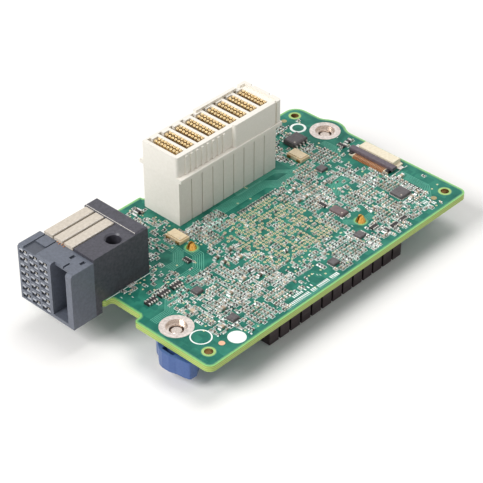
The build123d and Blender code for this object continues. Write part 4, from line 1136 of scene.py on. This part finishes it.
# Oscillator terminals at the corners, and a round pin mark on the lids and chips
def addOscillatorTrim(look):
    foot, inset = blockShape(*look["terminal"]), look["inset"]
    shapes, dots = [], []
    for low, high in zip(*solidBoxes("oscillators")):
        x, y = (low[0], high[0]), (low[1] + inset, high[1] - inset)
        shapes.append(repeatShape(foot, [(i, j) for i in x for j in y]))
        dots.append((*(low[:2] + look["lidDot"]), high[2]))
    for node in ("memory_chip", "regulator_chip", "power_chip"):
        low, high = boxOf(node)
        dots.append((*(low[:2] + look["chipDot"]), high[2]))
    addPiece("oscillator_terminals", joinShapes(*shapes), ["oldCopper"], slot="tinned_pad")
    dot = turnedShape([(look["dot"], 0), (look["dot"], look["dotHeight"])], 14)
    addPiece("pin_marks", repeatShape(dot, dots), ["palePlastic"], slot="chip_epoxy")


addOscillatorTrim(oscillatorLook)
print("barrels, feet and terminals done")

loopLook = {"spanX": 0.86, "spanY": 0.78, "hole": 0.46, "lip": 0.14, "deep": 0.7, "floor": 0.02}


# Contact loop: an eight-sided tube with a rounded lip, a profile of radius and height carried round z; the
# inside of its hole gets painted shade
def addLoops(look):
    low, high = solidBoxes("mezzanine_contacts")
    tall = (high - low)[0, 2]
    hole, lip = look["hole"] / 2, look["lip"]
    profile = [(0.5, 0), (0.5, tall - lip), (0.5 - lip / 2, tall), (hole + lip / 2, tall), (hole, tall - lip)]
    profile += [(hole, tall - look["deep"]), (look["floor"], tall - look["deep"])]
    points, faces, _ = turnedShape(profile, 8)
    # The inner wall, floor ring and floor cap take the dark brown painted shade, the rest is gold
    finishOf = [np.repeat([0, 0, 0, 0, 1, 1], 8), np.array([0, 1])]
    shape = points * np.array([look["spanX"], look["spanY"], 1]), faces, finishOf
    places = np.column_stack([(low + high)[:, :2] / 2, low[:, 2]])
    piece = addPiece("contact_loops", repeatShape(shape, places), ["gold", "paintedLoopHoleShade"], slot="gold_contact")
    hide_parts("mezzanine_contacts")


addLoops(loopLook)

tipLook = {"reach": 0.6, "rise": 0.2, "thin": 0.75, "wide": 0.24}


# Blade tips in the nose openings: each blade's end runs forward, thinner and bent up
def addBladeTips(look):
    low, high = solidBoxes("front_contacts")
    size = (high - low)[0]
    y = look["wide"]
    rings = []
    for x, share, rise in ((0.0, 1.0, 0.0), (-look["reach"], look["thin"], look["rise"])):
        under, over = rise - size[2] / 2 * share, rise + size[2] / 2 * share
        rings.append([(x, -y, under), (x, y, under), (x, y, over), (x, -y, over)])
    places = np.column_stack([low[:, 0], (low + high)[:, 1] / 2, (low + high)[:, 2] / 2])
    addPiece("blade_tips", repeatShape(ringShape(np.array(rings)), places), ["tipMetal"], slot="gold_contact")


addBladeTips(tipLook)

webLook = {
    "half": 1.375,
    "long": 1.3,
    "tall": 0.46,
    "rise": 0.36,
    "in": 0.03,
    "deep": 0.5,
    "bevel": 0.08,
    "root": 0.02,
}


# Webs in the nose openings: two tabs, one from each side wall, above and below the middle of every opening;
# they are coloured far lighter than the grey housing, a painted highlight
def addWebs(look):
    low, high = solidBoxes("front_contacts")
    mid = np.round((low + high) / 2, 3)
    order = np.lexsort((mid[:, 1], mid[:, 2]))
    pairs = mid[order].reshape(-1, 2, 3).mean(axis=1)
    front = boxOf("front_housing")[0][0] + look["in"] + look["deep"] / 2
    tab = blockShape(look["deep"], look["long"], look["tall"], look["bevel"], -look["tall"] / 2)
    reach = look["half"] - look["long"] / 2 + look["root"]
    shapes = []
    for side in (-1, 1):
        y, z = pairs[:, 1] + side * reach, pairs[:, 2] + side * look["rise"]
        shapes.append(repeatShape(tab, np.column_stack([np.full(len(pairs), front), y, z])))
    addPiece("opening_webs", joinShapes(*shapes), ["paintedWebHighlight"], slot="grey_plastic")


addWebs(webLook)

edgeTrim = {
    "bits": [(-1.9, 44.2), (-1.7, 45.0), (-1.9, 45.8), (-1.6, 46.6)],
    "bitSize": (1.3, 0.22, 0.16, 0.04),
    "lip": (0.16, 0.03),
    "lipIn": 0.06,
    "shorter": (0.3, 0.4),
}


# Contact bits between the nose and the wafers, and thin bright tin strips along the front edges of the wafers
# and the rear bar as painted highlights
def addEdgeTrim(look):
    top = boxOf("front_housing")[1][2]
    bits = repeatShape(blockShape(*look["bitSize"]), [(x, y, top) for x, y in look["bits"]])
    addPiece("contact_bits", bits, ["copper"], slot="gold_contact")
    (wide, tall), (waferEnds, barEnds) = look["lip"], look["shorter"]
    shapes = []
    for low, high in zip(*solidBoxes("edge_wafers")):
        lip = blockShape(high[0] - low[0] - waferEnds, wide, tall)
        shapes.append(moveShape(lip, (low[0] + high[0]) / 2, low[1] + wide / 2 + look["lipIn"], high[2]))
    low, high = boxOf("rear_bar")
    lip = blockShape(wide, high[1] - low[1] - barEnds, tall)
    shapes.append(moveShape(lip, low[0] + wide / 2 + look["lipIn"], (low[1] + high[1]) / 2, high[2]))
    # The bright strips stand for light caught on these edges: painted highlights
    addPiece("painted_edge_highlights", joinShapes(*shapes), ["tin"], slot="tinned_pad")


addEdgeTrim(edgeTrim)
print("connector details done")

cableTrim = {"endBlock": (1.5, 1.0, 0.9, 0.08), "endX": 85.7}


# Black blocks at both ends of the cable connector's contact strip: painted shade where its end faces fall in
# shadow
def addCableTrim(look):
    low, high = boxOf("cable_housing")
    half = look["endBlock"][1] / 2
    places = [(look["endX"], low[1] + half), (look["endX"], high[1] - half)]
    ends = repeatShape(blockShape(*look["endBlock"]), places)
    addPiece("cable_end_shade", ends, ["arrayBody"], slot="black_plastic")


addCableTrim(cableTrim)

springLook = {
    "wire": 0.21,
    "sides": 8,
    "perTurn": 22,
    "travel": 3.2,
    "screwTurns": 5.0,
    "pinTurns": 4.5,
    "flatTurns": 0.6,
}


# Round-wire spring: a helix that rises evenly between the flat parts of its first and last turn
def springShape(low, high, turns, look):
    wire, flat = look["wire"], look["flatTurns"]
    radius = (high[0] - low[0]) / 2 - wire
    t = np.linspace(0, 1, int(turns * look["perTurn"]) + 1)
    angle = 2 * math.pi * turns * t
    risen = np.clip((t * turns - flat) / (turns - 2 * flat), 0, 1)
    z = low[2] + wire + (high[2] - low[2] - 2 * wire) * risen
    section = np.arange(look["sides"]) * 2 * math.pi / look["sides"]
    reach = radius + wire * np.cos(section)[None, :]
    x = (low[0] + high[0]) / 2 + reach * np.cos(angle)[:, None]
    y = (low[1] + high[1]) / 2 + reach * np.sin(angle)[:, None]
    rings = np.stack([x, y, z[:, None] + wire * np.sin(section)[None, :]], axis=2)
    return ringShape(rings)


def addSprings(look):
    for end in ("front", "rear"):
        node = end + "_screw_spring"
        low, high = boxOf(node)
        coil = springShape(low, high, look["screwTurns"], look)
        rider = {"body": end + "_spring", "smooth": True, "slot": "spring_wire"}
        piece = addPiece(end + "_coil", coil, ["springSteel"], **rider)
        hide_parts(node)
        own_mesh(piece)
    pins = zip(*solidBoxes("push_pin_springs"))
    coils = [springShape(low, high, look["pinTurns"], look) for low, high in pins]
    piece = addPiece("pin_coils", joinShapes(*coils), ["springSteel"], smooth=True, slot="spring_wire")
    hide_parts("push_pin_springs")


addSprings(springLook)

knurlLook = {"ridges": 36, "depth": 0.1, "inset": 0.25, "sunk": 0.05, "ends": (0.0, 0.15, 1.15, 1.3)}


# Knurled band round each screw head: radius alternates between ridge and groove, sunk at both ends
def addKnurls(look):
    for end in ("front", "rear"):
        low, high = boxOf(end + "_captive_screw")
        x, y = (low[0] + high[0]) / 2, (low[1] + high[1]) / 2
        radius = (high[0] - low[0]) / 2
        angle = np.arange(4 * look["ridges"]) * math.pi / (2 * look["ridges"])
        wave = np.where(np.arange(len(angle)) % 4 < 2, look["depth"], 0.0)
        rings = []
        for rise, grow in zip(look["ends"], (0, 1, 1, 0)):
            r = radius - look["sunk"] + grow * (look["sunk"] + wave)
            z = np.full(len(angle), low[2] + look["inset"] + rise)
            rings.append(np.column_stack([x + r * np.cos(angle), y + r * np.sin(angle), z]))
        band = ringShape(np.array(rings))
        addPiece(end + "_knurl", band, ["plated"], body=end + "_screw", slot="plated_steel")


addKnurls(knurlLook)

coneLook = {"foot": 0.62, "top": 0.3, "height": 0.75}


# Solder cones round the contact tails under the board: radius falls with the square root of the height
def addCones(look):
    low, high = solidBoxes("edge_tails")
    t = np.linspace(0, 1, 5)
    r = look["foot"] - (look["foot"] - look["top"]) * np.sqrt(t)
    cone = turnedShape(np.column_stack([r, t * look["height"]]), 10)
    places = (low + high)[:, :2] / 2
    addPiece("solder_cones", underneath(repeatShape(cone, places)), ["tin"], smooth=True, slot="tinned_pad")


addCones(coneLook)
print("springs, knurls and solder done")

# Camera at the photograph's angle, light from the left and above, pale floor
cameraLook = {
    "target": (38.886, 27.034, 0.0),
    "distance": 438.846,
    "yaw": -46.713,
    "pitch": 36.946,
    "focalPixels": 1817.758,
    "framePixels": 483,
    "sensor": 36.0,
    "clip": (0.01, 20.0),
}


def addCamera(look):
    lens = bpy.data.cameras.new("photoCamera")
    lens.sensor_width = look["sensor"]
    lens.lens = look["focalPixels"] * look["sensor"] / look["framePixels"]
    lens.clip_start, lens.clip_end = look["clip"]
    camera = bpy.data.objects.new("photoCamera", lens)
    bpy.context.scene.collection.objects.link(camera)
    a, e = math.radians(look["yaw"]), math.radians(look["pitch"])
    back = Vector((math.sin(a) * math.cos(e), -math.cos(a) * math.cos(e), math.sin(e)))
    camera.location = Vector(onBoard(look["target"])) + back * look["distance"] * mm
    camera.rotation_euler = (-back).to_track_quat("-Z", "Y").to_euler()
    bpy.context.scene.camera = camera


studio = {
    "lamps": {
        "keyLamp": ((-1.3, 0.35, 1.2), 23.0, 0.8),
        "topLamp": ((0.5, 0.1, 2.0), 14.0, 1.0),
    },
    "world": 0.42,
    "floorTone": (248, 246, 244),
    "floorGlow": 0.02,
    "floorSize": 4.0,
    "floorDrop": 0.0002,
    "floorRough": 0.9,
}


def addLamp(name, place, power, size):
    light = bpy.data.lights.new(name, "AREA")
    light.energy, light.size = power, size
    lamp = bpy.data.objects.new(name, light)
    lamp.location = place
    lamp.rotation_euler = (-Vector(place)).to_track_quat("-Z", "Y").to_euler()
    bpy.context.scene.collection.objects.link(lamp)


# One for what the camera sees straight, in a reflection or through a clear piece, and nought for other light
def seenDirectly(tree):
    path = addNode(tree, "ShaderNodeLightPath").outputs
    either = combine(tree, "MAXIMUM", path["Is Camera Ray"], path["Is Glossy Ray"])
    return combine(tree, "MAXIMUM", either, path["Is Transmission Ray"])


def addStudio(look):
    for name, (place, power, size) in look["lamps"].items():
        addLamp(name, place, power, size)
    world = bpy.data.worlds.new("whiteRoom")
    bpy.context.scene.world = world
    world.use_nodes = True
    tree = world.node_tree
    sky = tree.nodes["Background"]
    sky.inputs["Color"].default_value = (1, 1, 1, 1)
    strength = remap(tree, seenDirectly(tree), 0.0, 1.0, look["world"], 1.0)
    tree.links.new(strength, sky.inputs["Strength"])
    half = look["floorSize"] / 2
    low = cadBox[0].z - look["floorDrop"]
    mesh = bpy.data.meshes.new("paleFloor")
    corners = [(-half, -half, low), (half, -half, low), (half, half, low), (-half, half, low)]
    mesh.from_pydata(corners, [], [(0, 1, 2, 3)])
    finish, tree, shader = startFinish("paleFloor", look["floorRough"], specular=0.0)
    shader.inputs["Base Color"].default_value = tint(*look["floorTone"])
    shader.inputs["Emission Color"].default_value = (1, 1, 1, 1)
    glow = remap(tree, seenDirectly(tree), 0.0, 1.0, 0.0, look["floorGlow"])
    tree.links.new(glow, shader.inputs["Emission Strength"])
    mesh.materials.append(finish)
    floor = bpy.data.objects.new("paleFloor", mesh)
    bpy.context.scene.collection.objects.link(floor)
    bpy.context.scene.view_settings.view_transform = "Standard"


addCamera(cameraLook)
addStudio(studio)
print("camera and studio done")
